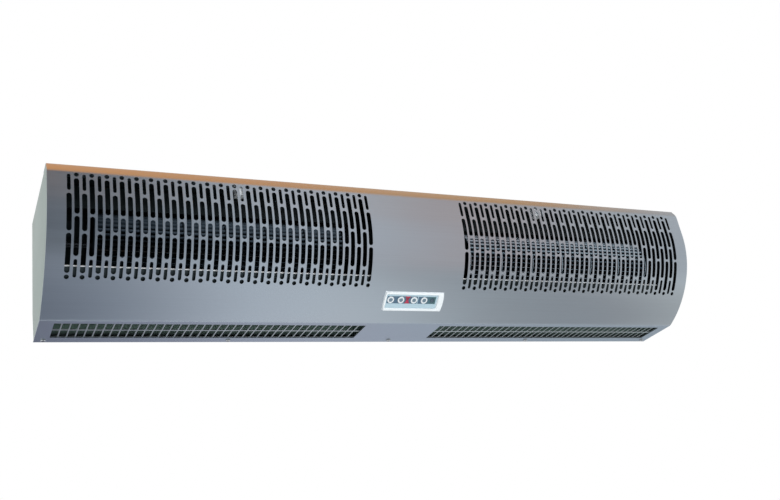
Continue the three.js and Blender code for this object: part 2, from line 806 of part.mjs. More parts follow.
for (const { side, sign } of SIDES) {
  const chamberStart = sign > 0 ? CHAMBER_START + PLATE + CHAMBER_INSET : -CHAMBER_END + CHAMBER_INSET;
  const outletStart = sign > 0 ? OUTLET_START : -OUTLET_END;
  const wheelStart = sign > 0 ? WHEEL_START : -WHEEL_END;
  const guide = sign > 0 ? airGuideWithWireway() : airGuide();

  const panel = place(section, `end_panel_${side}`, endPanel(), PANEL_PAINT);
  panel.position.z = (sign * LENGTH) / 2;
  panel.scale.z = -sign;

  place(section, `outlet_grille_${side}`, outletGrille(), GRILLE_STEEL, [0, 0, outletStart]);
  place(section, `scroll_${side}`, scroll(), PLATED_STEEL, [0, 0, chamberStart]);
  place(section, `air_guide_${side}`, guide, PLATED_STEEL, [0, 0, chamberStart]);

  const innerPlate = sign > 0 ? CHAMBER_START : -CHAMBER_START - PLATE;
  const outerPlate = sign > 0 ? CHAMBER_END : -CHAMBER_END - PLATE;
  place(section, `chamber_plate_${side}_inner`, chamberPlate(), PLATED_STEEL, [0, 0, innerPlate]);
  place(section, `chamber_plate_${side}_outer`, chamberPlate(), PLATED_STEEL, [0, 0, outerPlate]);

  place(section, `fan_wheel_${side}`, fanWheel(sign > 0), WHEEL_ALUMINIUM, onAxis(wheelStart));
  const hub = place(section, `wheel_hub_${side}`, wheelHub(), RUBBER, onAxis(sign * WHEEL_START));
  hub.rotation.y = sign > 0 ? 0 : Math.PI;
  const stub = place(section, `stub_shaft_${side}`, stubShaft(), SHAFT_STEEL, onAxis(sign * WHEEL_END));
  stub.rotation.y = sign > 0 ? 0 : Math.PI;

  const bearingPlace = onAxis(sign * (CHAMBER_END + PLATE / 2));
  place(section, `end_bearing_${side}`, endBearing(), BRONZE, bearingPlace);
  place(section, `bearing_rubber_${side}`, grooveRing(10 + GAP, PLATE), RUBBER, bearingPlace);
  const motorRubber = grooveRing(MOTOR.boss + GAP, 2.4);
  place(section, `motor_rubber_${side}`, motorRubber, RUBBER, onAxis(sign * MOTOR.mount));

  const element = place(section, `heater_${side}`, heater(), HEATER_STEEL);
  element.scale.z = sign;
  for (const [end, along] of [['inner', 130], ['outer', 470]]) {
    const name = `heater_holder_${side}_${end}`;
    place(section, name, heaterHolder(), PLATED_STEEL, [0, 0, sign * along]);
  }
  const cutout = place(section, `safety_cutout_${side}`, safetyCutout(), PHENOLIC);
  cutout.position.set(124, 62, sign * (CHAMBER_START + PLATE + GAP));
  cutout.rotation.y = sign > 0 ? 0 : Math.PI;

  place(section, `cover_stay_${side}`, coverStay(), PLATED_STEEL, [0, 0, STAY_PLACES[side]]);
}

place(section, 'motor_housing', motorHousing(), MOTOR_PAINT, onAxis(0));
place(section, 'motor_rotor', motorRotor(), SHAFT_STEEL, onAxis(0));
place(section, 'motor_shaft', rod(SHAFT_RADIUS, -122, 122), SHAFT_STEEL, onAxis(0));
place(section, 'motor_bracket', motorBracket(), PLATED_STEEL);
place(section, 'relay_board', relayBoard(), BOARD_LAMINATE);
place(section, 'run_capacitor', runCapacitor(), CAPACITOR_PLASTIC);
place(section, 'terminal_block', terminalBlock(), TERMINAL_PLASTIC);
const grommetPlace = [CASING_REAR, GROMMET.height, GROMMET.along];
place(section, 'cable_grommet', cableGrommet(), RUBBER, grommetPlace);

SCREW_PLACES.forEach((along, index) => {
  const name = `cover_screw_${index + 1}`;
  place(section, name, coverScrew(), SCREW_STEEL, [SCREW_DEPTH, 0, along]);
});

// The panel faces down and forward, square to the facet that it sits on.
const controlPanel = new THREE.Group();
controlPanel.position.set(
  PANEL_PLACE,
  PANEL_SEAT.depth - DEPTH,
  PANEL_SEAT.height - MOUNT_HEIGHT,
);
controlPanel.rotation.x = Math.PI / 2 + PANEL_SEAT.tilt;
airCurtain.add(controlPanel);

place(controlPanel, 'control_bezel', controlBezel(), WHITE_PLASTIC);
place(controlPanel, 'label_plate', labelPlate(), LABEL_FILM);
const onLine = (along) => [along, BUTTON_LINE, 0];
place(controlPanel, 'indicator_lens', indicatorLens(), RED_LENS, onLine(INDICATOR_PLACE));
place(controlPanel, 'receiver_window', receiverWindow(), DARK_LENS, onLine(RECEIVER_PLACE));
place(controlPanel, 'control_board', controlBoard(), BOARD_LAMINATE);
BUTTON_PLACES.forEach((along, index) => {
  place(controlPanel, `button_${index + 1}`, button(), BUTTON_PLASTIC, onLine(along));
});

export default airCurtain;
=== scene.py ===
"""Wall-mounted air curtain: its visible pieces, materials and studio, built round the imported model."""

import json
import math

import bmesh
import bpy
from bpy.props import FloatProperty, FloatVectorProperty, IntProperty, PointerProperty
from bpy.types import Operator, Panel, PropertyGroup
from mathutils import Matrix, Vector


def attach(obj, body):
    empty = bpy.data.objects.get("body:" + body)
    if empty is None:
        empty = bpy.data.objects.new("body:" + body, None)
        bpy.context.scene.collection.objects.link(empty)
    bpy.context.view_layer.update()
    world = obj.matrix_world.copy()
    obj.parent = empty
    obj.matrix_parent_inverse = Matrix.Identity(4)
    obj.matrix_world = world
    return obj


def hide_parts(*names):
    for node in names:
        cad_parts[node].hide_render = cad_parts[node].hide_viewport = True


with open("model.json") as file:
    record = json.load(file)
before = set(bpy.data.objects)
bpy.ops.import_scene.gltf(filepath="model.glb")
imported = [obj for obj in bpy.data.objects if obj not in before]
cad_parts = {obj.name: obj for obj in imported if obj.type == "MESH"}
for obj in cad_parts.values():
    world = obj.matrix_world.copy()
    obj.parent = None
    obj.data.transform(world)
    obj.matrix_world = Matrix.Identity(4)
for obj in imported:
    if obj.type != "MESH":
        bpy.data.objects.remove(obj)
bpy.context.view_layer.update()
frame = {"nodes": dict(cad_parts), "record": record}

bl_info = {
    "name": "Air Curtain",
    "version": (1, 0, 0),
    "blender": (4, 5, 0),
    "location": "View3D > Sidebar > Air Curtain",
    "description": "Builds a wall-mounted air curtain and the studio it stands in",
    "category": "Add Mesh",
}

MM = 0.001

# The section, in millimetres: depth runs back from the front of the cover, height up from its
# flat bottom. The same section runs all along the length.
LENGTH = 1106
DEPTH = 184
COVER_HEIGHT = 193.5
MOUNT_HEIGHT = 120
GAP = 0.3
TOP_FLANGE_DEPTH = 34
BEVEL_DEPTH = 8
BEVEL_DROP = 13.5
BELLY_TOP = 140.6
UPPER_RADIUS = 143
UPPER_SWEEP = math.radians(32.85)
LOWER_RADIUS = 170.4
BELLY_END_DROP = 177
BOTTOM_BEND_DEPTH = 96
BOTTOM_EDGE_DEPTH = 176
CASING_REAR = 181.7
CASING_CHAMFER = (171, 44)

FIELD_COLUMNS = 45
FIELD_CENTRE = 305
FIELD_MIDDLE_DROP = 39.4
SHORT, LONG, HOLE = "short", "long", "hole"
STACK = ((-60.3, SHORT), (-16.7, LONG), (40, LONG), (72.2, HOLE))

OUTLET_START = 67
OUTLET_END = 533
OUTLET_FRONT = 106.5
OUTLET_REAR = 158.5
GRILLE_CELLS = 40

AXIS_DEPTH = 88
AXIS_HEIGHT = 112
CHAMBER_START = 63
CHAMBER_END = 537
WHEEL_START = 113
WHEEL_END = 487
WHEEL_RADIUS = 46
HUB_BORE = 14.3
SHAFT_BORE = 4.3

SCREW_DEPTH = 167.5
SCREW_PLACES = (-540.5, -273.5, 0, 273.5, 540.5)

HOOK_PLACES = (-320, -110, 110, 320)
WALL_SCREW_PLACES = (-380, -160, 160, 380)
WALL_SCREW_HEIGHT = 108
GROMMET_PLACE = (40, 160)
STAY_PLACES = {"left": -285, "right": 241}
LIT_BAND_HEIGHTS = (4, 13, 20, 32)   # the band of painted light on the duct walls: its foot, its full part from and to, its end
PUNCH = 6   # how far a punch reaches on either side of the sheet

HEATER_DEPTHS = (126, 142)
HEATER_HEIGHT = 34
HEATER_RADIUS = 4
HEATER_START = 84
HEATER_END = 516

PANEL_PLACE = -1.2
PANEL_DROPS = (117, 157)
BEZEL_HALF = (51.75, 16.5)
BEZEL_CROWN = 1.6
BEZEL_WALL = 1.2
BUTTON_PLACES = (-41, -23, 0, 18)
BUTTON_LINE = 3
INDICATOR_PLACE = -11.7
RECEIVER_PLACE = 33
WINDOW = (-48.3, 41.7, -11.5, 12.2)

SIDES = (("left", -1), ("right", 1))

SMOOTH_ANGLE = math.radians(30)

# The studio, in metres, with the camera where the photograph was taken from.
CAMERA_PLACE = (-0.6849, -1.3133, -0.6313)
CAMERA_RIGHT = (0.8966, -0.4117, -0.163)
CAMERA_UP = (-0.042, -0.4456, 0.8942)
CAMERA_LENS = 42.93   # millimetres, for a frame 36 mm wide
FLOOR_HEIGHT = -2.1
LAMP_HEIGHT = 1.6
CARD_SPAN = 1.5   # the length of cover, past both ends, that the cards' tones are given for
FACING_FRONT = (math.pi / 2, 0, 0)
LYING = (0, 0, 0)


def linear(code):
    """Linear RGBA from an sRGB hex value."""
    channels = [int(code[i:i + 2], 16) / 255 for i in (1, 3, 5)]
    return (*[c / 12.92 if c <= 0.04045 else ((c + 0.055) / 1.055) ** 2.4 for c in channels], 1.0)


def colour_prop(name, description, code):
    return FloatVectorProperty(
        name=name, description=description, subtype="COLOR", size=4, min=0, max=1, default=linear(code)
    )


def length_prop(name, description, millimetres):
    return FloatProperty(
        name=name, description=description, unit="LENGTH", subtype="DISTANCE", min=0, default=millimetres * MM
    )


class AirCurtainSizes(PropertyGroup):
    """Sizes that a user would change, in metres."""

    cover_sheet: length_prop("Cover sheet", "Thickness of the stainless cover", 1)
    casing_sheet: length_prop("Casing sheet", "Thickness of the steel casing and end panels", 1.2)
    bend_radius: length_prop("Bend radius", "Outer radius of the cover's sharp bends", 1.6)
    column_pitch: length_prop("Column pitch", "Distance between two columns of openings", 10)
    long_slot: length_prop("Long slot", "Length of a long slot", 53.2)
    long_slot_width: length_prop("Long slot width", "Width of a long slot", 6.8)
    short_slot: length_prop("Short slot", "Length of a short slot", 25)
    short_slot_width: length_prop("Short slot width", "Width of a short slot", 4.8)
    hole: length_prop("Hole", "Diameter of a round hole", 6.4)
    grille_sheet: length_prop("Grille sheet", "Thickness of the outlet grilles", 1.2)
    grille_bar: length_prop("Grille bar", "Width of a grille's bars", 1.8)
    button: length_prop("Button", "Diameter of a push button", 11.2)
    blades: IntProperty(
        name="Blades", description="Number of blades round a fan wheel", min=8, max=60, default=36
    )


class AirCurtainColours(PropertyGroup):
    """Colours that a user would change."""

    stainless: colour_prop("Stainless", "Brushed stainless cover", "#b0bcc6")
    paint: colour_prop("Paint", "End panels", "#9fada7")
    zinc: colour_prop("Zinc", "Casing and wall bracket", "#98a2a3")
    # Darker than the casing's zinc: painted shade inside the unit.
    shaded_inner_zinc: colour_prop("Inner zinc", "Sheets inside, darkened as painted shade", "#4a5456")
    # Dark for aluminium: painted shade inside the fan.
    wheel: colour_prop("Wheels", "Aluminium fan wheels", "#46535e")
    grille: colour_prop("Grilles", "Outlet grilles", "#bcc4c4")
    plastic: colour_prop("White plastic", "Control bezel", "#f3f9fc")
    label: colour_prop("Label", "Film round the buttons", "#b8d2de")
    label_band: colour_prop("Label band", "Darker band behind the buttons", "#4c6b82")
    label_band_end: colour_prop("Label band's end", "The band at the receiver window", "#436a70")
    button_face: colour_prop("Button face", "Middle of the buttons", "#6f8796")
    lens: colour_prop("Indicator", "Red indicator lens", "#b42a4c")
    backdrop: colour_prop("Backdrop", "What surrounds the object", "#ffffff")


def sizes():
    return bpy.context.scene.air_curtain_sizes


def colours():
    return bpy.context.scene.air_curtain_colours


# ---- the section


def at(along, depth, height):
    """Point in metres, from its place along the length, its depth and its height."""
    return Vector((along, depth - DEPTH, height - MOUNT_HEIGHT)) * MM


def skin(drop):
    """Depth, height and lean of the cover at an arc length below the top of its belly."""
    if drop <= 0:
        return 0.0, BELLY_TOP - drop, 0.0
    upper = UPPER_RADIUS * UPPER_SWEEP
    if drop <= upper:
        lean = drop / UPPER_RADIUS
        return UPPER_RADIUS * (1 - math.cos(lean)), BELLY_TOP - UPPER_RADIUS * math.sin(lean), lean
    depth, height, lean = skin(upper)
    turned = lean + (drop - upper) / LOWER_RADIUS
    return (
        depth + LOWER_RADIUS * (math.cos(lean) - math.cos(turned)),
        height - LOWER_RADIUS * (math.sin(turned) - math.sin(lean)),
        turned,
    )


def cover_path(step=3.6):
    """The cover's outer skin from the top flange to the rear edge of the bottom."""
    count = round(BELLY_END_DROP / step)
    belly = [skin(BELLY_END_DROP * i / count)[:2] for i in range(count + 1)]
    top = [(TOP_FLANGE_DEPTH, COVER_HEIGHT), (BEVEL_DEPTH, COVER_HEIGHT), (0, COVER_HEIGHT - BEVEL_DROP)]
    return top + belly + [(BOTTOM_BEND_DEPTH, 0), (BOTTOM_EDGE_DEPTH, 0)]


def offset(path, distance, closed=False):
    """A path moved sideways, to its left as it is followed."""
    count = len(path)

    def left_of(index):
        (ax, ay), (bx, by) = path[index % count], path[(index + 1) % count]
        run = math.hypot(bx - ax, by - ay)
        return (ay - by) / run, (bx - ax) / run

    moved = []
    for index, (x, y) in enumerate(path):
        before = left_of(index - 1 if index > 0 or closed else 0)
        after = left_of(index if index < count - 1 or closed else count - 2)
        reach = distance / (1 + before[0] * after[0] + before[1] * after[1])
        moved.append((x + reach * (before[0] + after[0]), y + reach * (before[1] + after[1])))
    return moved


def end_outline():
    """The end panels' outline: just inside the cover, and along the outside of the casing."""
    inside = offset(cover_path(), 1 + GAP)[1:-1]
    top = COVER_HEIGHT - 1 - GAP
    return inside + [(CASING_CHAMFER[0], 1 + GAP), (CASING_REAR, CASING_CHAMFER[1]), (CASING_REAR, top)]


# ---- modelling by hand


def only(*objs):
    """Selects these objects and nothing else, the last one active."""
    bpy.ops.object.select_all(action="DESELECT")
    for obj in objs:
        obj.select_set(True)
    bpy.context.view_layer.objects.active = objs[-1]


def edit(obj):
    only(obj)
    bpy.ops.object.mode_set(mode="EDIT")


def pick(obj, kind, test):
    """Selects the verts, edges or faces of the object in edit mode that pass a test."""
    bpy.ops.mesh.select_mode(type=kind[:-1].upper())
    bpy.ops.mesh.select_all(action="DESELECT")
    mesh = bmesh.from_edit_mesh(obj.data)
    for element in getattr(mesh, kind):
        element.select_set(bool(test(element)))
    mesh.select_flush_mode()
    bmesh.update_edit_mesh(obj.data)


def looks_up(face):
    return face.normal.z > 0.9


def extrude(shift):
    """Extrudes what is selected by a shift in metres."""
    bpy.ops.mesh.extrude_region_move(TRANSFORM_OT_translate={"value": shift})


def face_out():
    """Selects the whole mesh in edit mode, and turns its faces outwards."""
    bpy.ops.mesh.select_all(action="SELECT")
    bpy.ops.mesh.normals_make_consistent(inside=False)


def done():
    bpy.ops.object.mode_set(mode="OBJECT")
    return bpy.context.object


def modify(obj, kind, **settings):
    """Adds a modifier and applies it."""
    only(obj)
    modifier = obj.modifiers.new(kind.title(), kind)
    for key, value in settings.items():
        setattr(modifier, key, value)
    bpy.ops.object.modifier_apply(modifier=modifier.name)


def repeat(obj, count, step):
    """Repeats the object along the length, a step in metres apart."""
    modify(
        obj, "ARRAY", count=count, use_relative_offset=False, use_constant_offset=True,
        constant_offset_displace=(step, 0, 0),
    )
    return obj


def soften(obj, millimetres, angle=60, segments=3):
    """Rounds all edges that are sharper than an angle in degrees."""
    modify(
        obj, "BEVEL", width=millimetres * MM, segments=segments, limit_method="ANGLE",
        angle_limit=math.radians(angle),
    )


def stand(point, angle=0, axis="X"):
    """The matrix that turns a piece and then puts it at a point in metres."""
    return Matrix.Translation(point) @ Matrix.Rotation(angle, 4, axis)


def place(obj, matrix=Matrix.Identity(4)):
    """Puts the object where the matrix says, and its place into its mesh."""
    bpy.context.view_layer.update()
    obj.matrix_world = matrix @ obj.matrix_world
    bpy.context.view_layer.update()
    only(obj)
    bpy.ops.object.transform_apply(location=True, rotation=True, scale=True)
    return obj


def merge(*objs):
    only(*objs)
    if len(objs) > 1:
        bpy.ops.object.join()
    return bpy.context.object


def copy_of(obj, shift=(0, 0, 0)):
    """A copy with its own mesh, moved by a shift."""
    only(obj)
    bpy.ops.object.duplicate(linked=False)
    twin = bpy.context.object
    twin.location = Vector(shift)
    return place(twin)


def cut(obj, *tools):
    """Takes the tools away from the object. The tools don't touch each other."""
    tool = merge(*tools)
    modify(obj, "BOOLEAN", operation="DIFFERENCE", object=tool, solver="MANIFOLD")
    bpy.data.objects.remove(tool)


def unite(obj, *others):
    for other in others:
        modify(obj, "BOOLEAN", operation="UNION", object=other, solver="MANIFOLD")
        bpy.data.objects.remove(other)


def block(low, high):
    """A box between two corners, in metres."""
    low, high = Vector(low), Vector(high)
    bpy.ops.mesh.primitive_cube_add(size=1, location=(low + high) / 2)
    obj = bpy.context.object
    obj.scale = high - low
    return place(obj)


def drum(radius, low, high, sides=32):
    """A round bar along Z, in millimetres."""
    bpy.ops.mesh.primitive_cylinder_add(
        vertices=sides, radius=radius * MM, depth=(high - low) * MM,
        location=(0, 0, (high + low) / 2 * MM),
    )
    return place(bpy.context.object)


def along_axis(axis):
    """Test for the edges that run along an axis: 0 the length, 1 the depth, 2 the height."""
    others = [k for k in range(3) if k != axis]
    return lambda edge: all(abs(edge.verts[0].co[k] - edge.verts[1].co[k]) < 1e-6 for k in others)


def round_edges(obj, test, radius, segments=4):
    """Rounds the edges of the object that pass a test."""
    edit(obj)
    pick(obj, "edges", test)
    bpy.ops.mesh.bevel(offset=radius, segments=segments, affect="EDGES")
    return done()


def trace(points, closed=False):
    """A wire drawn point by point, or a flat face when it is closed."""
    bpy.ops.object.select_all(action="DESELECT")
    bpy.ops.mesh.primitive_plane_add(size=MM)
    bpy.ops.object.mode_set(mode="EDIT")
    bpy.ops.mesh.select_mode(type="VERT")
    bpy.ops.mesh.select_all(action="SELECT")
    bpy.ops.mesh.merge(type="CENTER")
    bpy.ops.transform.translate(value=points[0])
    for before, after in zip(points, points[1:]):
        bpy.ops.mesh.extrude_vertices_move(TRANSFORM_OT_translate={"value": after - before})
    bpy.ops.mesh.select_all(action="SELECT")
    if closed:
        bpy.ops.mesh.edge_face_add()
    return bpy.context.object


def turned(profile, sides=48):
    """A piece turned round Z from its closed outline of (radius, place along the axis), in millimetres."""
    outline = [Vector((radius, 0, along)) * MM for radius, along in profile]
    obj = trace(outline + outline[:1])
    bpy.ops.mesh.remove_doubles(threshold=1e-6)
    bpy.ops.mesh.select_all(action="SELECT")
    bpy.ops.mesh.spin(steps=sides, angle=2 * math.pi, center=(0, 0, 0), axis=(0, 0, 1))
    bpy.ops.mesh.select_all(action="SELECT")
    bpy.ops.mesh.remove_doubles(threshold=1e-6)
    bpy.ops.mesh.normals_make_consistent(inside=False)
    return done()


def face_towards(obj, direction, near):
    """Turns the faces of the open mesh in edit mode so that the one nearest a point looks that way."""
    face_out()
    mesh = bmesh.from_edit_mesh(obj.data)
    nearest = min(mesh.faces, key=lambda face: (face.calc_center_median() - near).length)
    if nearest.normal.dot(Vector(direction)) < 0:
        bpy.ops.mesh.flip_normals()


def bent_sheet(path, thickness, start, end, bends=None):
    """A sheet with the same section all along, its thickness to the left of the path.

    The bends give some of the path's corners the distance over which each side is rounded.
    """
    obj = trace([at(start, *point) for point in path])
    extrude(((end - start) * MM, 0, 0))
    (ax, ay), (bx, by) = path[0], path[1]
    sign = 1 if thickness > 0 else -1
    middle = at((start + end) / 2, (ax + bx) / 2, (ay + by) / 2)
    face_towards(obj, (0, sign * (ay - by), sign * (bx - ax)), middle)
    for bend, reach in (bends or {}).items():
        corner = at(0, *bend)
        pick(obj, "edges", lambda e, c=corner: all((v.co - c).yz.length < 1e-5 for v in e.verts))
        bpy.ops.mesh.bevel(offset=reach * MM, segments=5, affect="EDGES", clamp_overlap=True)
    done()
    modify(obj, "SOLIDIFY", thickness=abs(thickness) * MM, offset=1, use_even_offset=True)
    return obj


def coat(obj, finishes, test=None):
    """Gives a piece its finishes by name. The faces that pass the test have the second one."""
    obj.data.materials.clear()
    for name in finishes:
        obj.data.materials.append(MATERIALS[name])
    if test:
        for face in obj.data.polygons:
            face.material_index = int(test(face))
    return obj


def finish(obj, name, node, slot, body="casing"):
    """Names and shades a finished piece, and tells the frame what it is.

    A piece that has no finish yet has its slot's. A boolean leaves an empty material behind.
    """
    obj.name = name
    obj.data.name = name
    if not any(obj.data.materials):
        coat(obj, (slot,))
    only(obj)
    bpy.ops.object.shade_smooth_by_angle(angle=SMOOTH_ANGLE)
    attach(obj, body)
    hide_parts(node)


# ---- materials


def add(owner, kind, settings=(), **inputs):
    """Adds a shader node with its settings to a tree, or to the tree that a socket is in.

    An input is a value, or a socket to link from.
    """
    tree = owner.id_data
    node = tree.nodes.new(f"ShaderNode{kind}")
    for key, value in dict(settings).items():
        setattr(node, key, value)
    for key, value in inputs.items():
        socket = node.inputs[int(key[1:])] if key[0] == "_" else node.inputs[key.replace("_", " ")]
        if isinstance(value, bpy.types.NodeSocket):
            tree.links.new(value, socket)
        else:
            socket.default_value = value
    return node


def begin(name):
    """A new material, and the place on the piece that its patterns go by."""
    material = bpy.data.materials.new(name)
    material.use_nodes = True
    tree = material.node_tree
    tree.nodes.clear()
    return material, add(tree, "TexCoord").outputs["Object"]


def close(material, **inputs):
    """Ends a material in one shader with these inputs."""
    shader = add(material.node_tree, "BsdfPrincipled", **inputs)
    add(material.node_tree, "OutputMaterial", Surface=shader.outputs["BSDF"])
    return material


def textured(material, tone, texture, rough, relief, reach=(0.3, 0.7), **inputs):
    """Ends a material whose texture sets its roughness and its relief.

    The roughness goes from one value to another over the texture's reach. The relief is a depth
    in millimetres and a strength.
    """
    depth, strength = relief
    raised = add(texture, "Bump", Height=texture, Distance=depth * MM, Strength=strength)
    roughness = between(texture, *rough, *reach)
    return close(material, Base_Color=tone, Roughness=roughness, Normal=raised.outputs["Normal"], **inputs)


def grain(where, scale, stretch=(1, 1, 1), detail=2.0):
    """Noise whose grains are about 1 / scale metres across, drawn out by the stretch."""
    mapping = add(where, "Mapping", Vector=where, Scale=tuple(scale / s for s in stretch))
    noise = add(where, "TexNoise", Vector=mapping.outputs["Vector"], Scale=1.0, Detail=detail)
    return noise.outputs["Fac"]


def between(value, low, high, from_low=0.3, from_high=0.7):
    """Turns a range of a value into another. Most noise lies between 0.3 and 0.7."""
    return add(
        value, "MapRange", Value=value, From_Min=from_low, From_Max=from_high, To_Min=low, To_Max=high
    ).outputs["Result"]


def calc(operation, first, second):
    return add(first, "Math", {"operation": operation}, _0=first, _1=second).outputs[0]


def blend_colours(factor, first, second):
    return add(factor, "Mix", {"data_type": "RGBA"}, _0=factor, _6=first, _7=second).outputs[2]


def shade_of(colour, factor):
    return (*[min(1.0, c * factor) for c in colour[:3]], 1.0)


def mottled(factor, colour, dark, light, *reach):
    """A colour, from a darker to a lighter shade of itself as the factor goes over its reach."""
    return blend_colours(
        between(factor, 0, 1, *reach), shade_of(colour, dark), shade_of(colour, light)
    )


def brushed_stainless():
    """Stainless sheet brushed lengthwise: long fine streaks, a soft satin reflection."""
    material, where = begin("Brushed stainless steel")
    # Real brush lines are about 0.1 mm apart; these are 1.2 mm, so that they just show.
    streaks = grain(where, 800, (160, 1, 1), 3)
    clouds = grain(where, 9, (1.5, 1, 1), 2)
    tone = mottled(streaks, colours().stainless, 0.97, 1.02)
    tone = blend_colours(between(clouds, 0, 0.1), tone, linear("#a89ca0"))
    return textured(material, tone, streaks, (0.31, 0.36), (0.01, 0.25), Metallic=1.0)


def painted_steel():
    """Powder coat on steel: an even, slightly pebbled skin."""
    material, where = begin("Powder-coated steel")
    pebbles = grain(where, 700, detail=1)
    tone = mottled(grain(where, 12), colours().paint, 0.95, 1.04)
    return textured(material, tone, pebbles, (0.42, 0.52), (0.05, 0.5), IOR=1.5)


def galvanised_steel(name, colour, metallic=1.0, weathered=False):
    """Hot-dip galvanised sheet: crystals of zinc about 8 mm across, dull and grey.

    With the band, it is paler near the outlets and shines less like metal there: painted light that stands in
    for the light reaching the duct walls.
    """
    material, where = begin(name)
    crystals = add(where, "TexVoronoi", Vector=where, Scale=120.0)
    level = add(where, "RGBToBW", Color=crystals.outputs["Color"]).outputs["Val"]
    tone = mottled(level, colour, 0.93, 1.05, 0, 1)
    if weathered:
        # A paler, less metallic band low in the ducts: painted light.
        height = add(where, "SeparateXYZ", Vector=where).outputs["Z"]
        foot, low, high, band_end = ((up - MOUNT_HEIGHT) * MM for up in LIT_BAND_HEIGHTS)
        lit_band = calc(
            "MULTIPLY", between(height, 0, 1, foot, low), between(height, 1, 0, high, band_end)
        )
        tone = blend_colours(lit_band, tone, linear("#7b948b"))
        metallic = between(lit_band, metallic, 0.5, 0, 1)
    return textured(material, tone, level, (0.46, 0.56), (0.01, 0.2), (0, 1), Metallic=metallic)


def plain_metal(name, colour, roughness, stretch=(1, 1, 1), scale=500):
    """A bare or plated metal with fine tool marks."""
    material, where = begin(name)
    marks = grain(where, scale, stretch, 3)
    tone = mottled(marks, colour, 0.88, 1.06)
    rough = (roughness - 0.04, roughness + 0.06)
    return textured(material, tone, marks, rough, (0.02, 0.4), Metallic=1.0)


def blade_edges():
    """Bare aluminium along the edges of the blades, with a painted sheen: dim on the left wheel, bright on
    the right.
    """
    material, where = begin("Aluminium blade edges")
    marks = grain(where, 700, (60, 1, 1), 3)
    # The right wheel's edges are lighter: painted sheen, not clean metal.
    lit_wheel_side = between(add(where, "SeparateXYZ", Vector=where).outputs["X"], 0, 1, -0.1, 0.1)
    tone = blend_colours(lit_wheel_side, linear("#58656f"), linear("#c4dcec"))
    return textured(material, tone, marks, (0.26, 0.36), (0.02, 0.4), Metallic=1.0)


def moulded(name, colour, roughness, grain_mm=1.0, depth_mm=0.02, variation=0.04, coat=0.0):
    """A moulded plastic or rubber with the fine grain of its mould."""
    material, where = begin(name)
    texture = grain(where, 1 / (grain_mm * MM), detail=1)
    tone = mottled(grain(where, 60), colour, 1 - variation, 1 + variation)
    rough = (roughness - 0.03, roughness + 0.04)
    return textured(material, tone, texture, rough, (depth_mm, 0.5), IOR=1.5, Coat_Weight=coat)


def on_panel(where):
    """The place in the control panel's own frame, which leans with the cover."""
    matrix = panel_matrix().inverted()
    return add(
        where, "Mapping", {"vector_type": "POINT"}, Vector=where,
        Location=tuple(matrix.to_translation()), Rotation=tuple(matrix.to_euler()),
    ).outputs["Vector"]


def indicator_lens():
    """Clear red acrylic over a lamp: darker over the lamp's well, as painted shade of the hollow behind it,
    and paler towards the edges.
    """
    material, where = begin("Red acrylic")
    lens = tuple(colours().lens)
    # The dark middle over the well is painted shade.
    well = Vector((INDICATOR_PLACE, BUTTON_LINE + 2.6, 1)) * MM
    away = add(
        where, "VectorMath", {"operation": "DISTANCE"}, _0=on_panel(where), _1=tuple(well)
    ).outputs["Value"]
    edge = between(away, 0, 1, 1.2 * MM, 3.6 * MM)
    return close(
        material, Base_Color=blend_colours(edge, shade_of(lens, 0.22), lens), Roughness=0.14,
        IOR=1.49, Coat_Weight=0.4,
    )


def label_film():
    """Printed polyester film: a dark band behind the buttons on a pale ground."""
    material, where = begin("Printed label film")
    split = add(where, "SeparateXYZ", Vector=on_panel(where))
    along, up = split.outputs["X"], split.outputs["Y"]

    def inside(value, low, high, soft=0.25):
        rise = between(value, 0, 1, (low - soft) * MM, (low + soft) * MM)
        fall = between(value, 1, 0, (high - soft) * MM, (high + soft) * MM)
        return calc("MULTIPLY", rise, fall)

    # The band runs behind all four buttons, with a narrow gap before the fourth.
    # The subtraction can't go below 0, since the gap lies well inside the band.
    lengthwise = calc("SUBTRACT", inside(along, -47.4, 39), inside(along, 6.2, 7.4))
    band = calc("MULTIPLY", lengthwise, inside(up, BUTTON_LINE - 6.3, BUTTON_LINE + 6.3))
    ink = blend_colours(
        between(along, 0, 1, 14 * MM, 36 * MM),
        tuple(colours().label_band), tuple(colours().label_band_end),
    )
    texture = grain(where, 2500, detail=1)
    tone = blend_colours(band, tuple(colours().label), ink)
    return textured(material, tone, texture, (0.34, 0.42), (0.01, 0.4), IOR=1.5)


def circuit_board():
    """Glass laminate under green lacquer: copper tracks show as slightly raised, paler lines."""
    material, where = begin("Circuit board laminate")
    tracks = add(
        where, "TexBrick", Vector=where, Scale=120.0, Color1=linear("#2f6b45"),
        Color2=linear("#35764d"), Mortar=linear("#2a5f3e"),
    )
    raised = add(where, "Bump", Height=tracks.outputs["Fac"], Distance=0.04 * MM, Strength=0.5)
    return close(
        material, Base_Color=tracks.outputs["Color"], Roughness=0.38, IOR=1.5,
        Normal=raised.outputs["Normal"],
    )


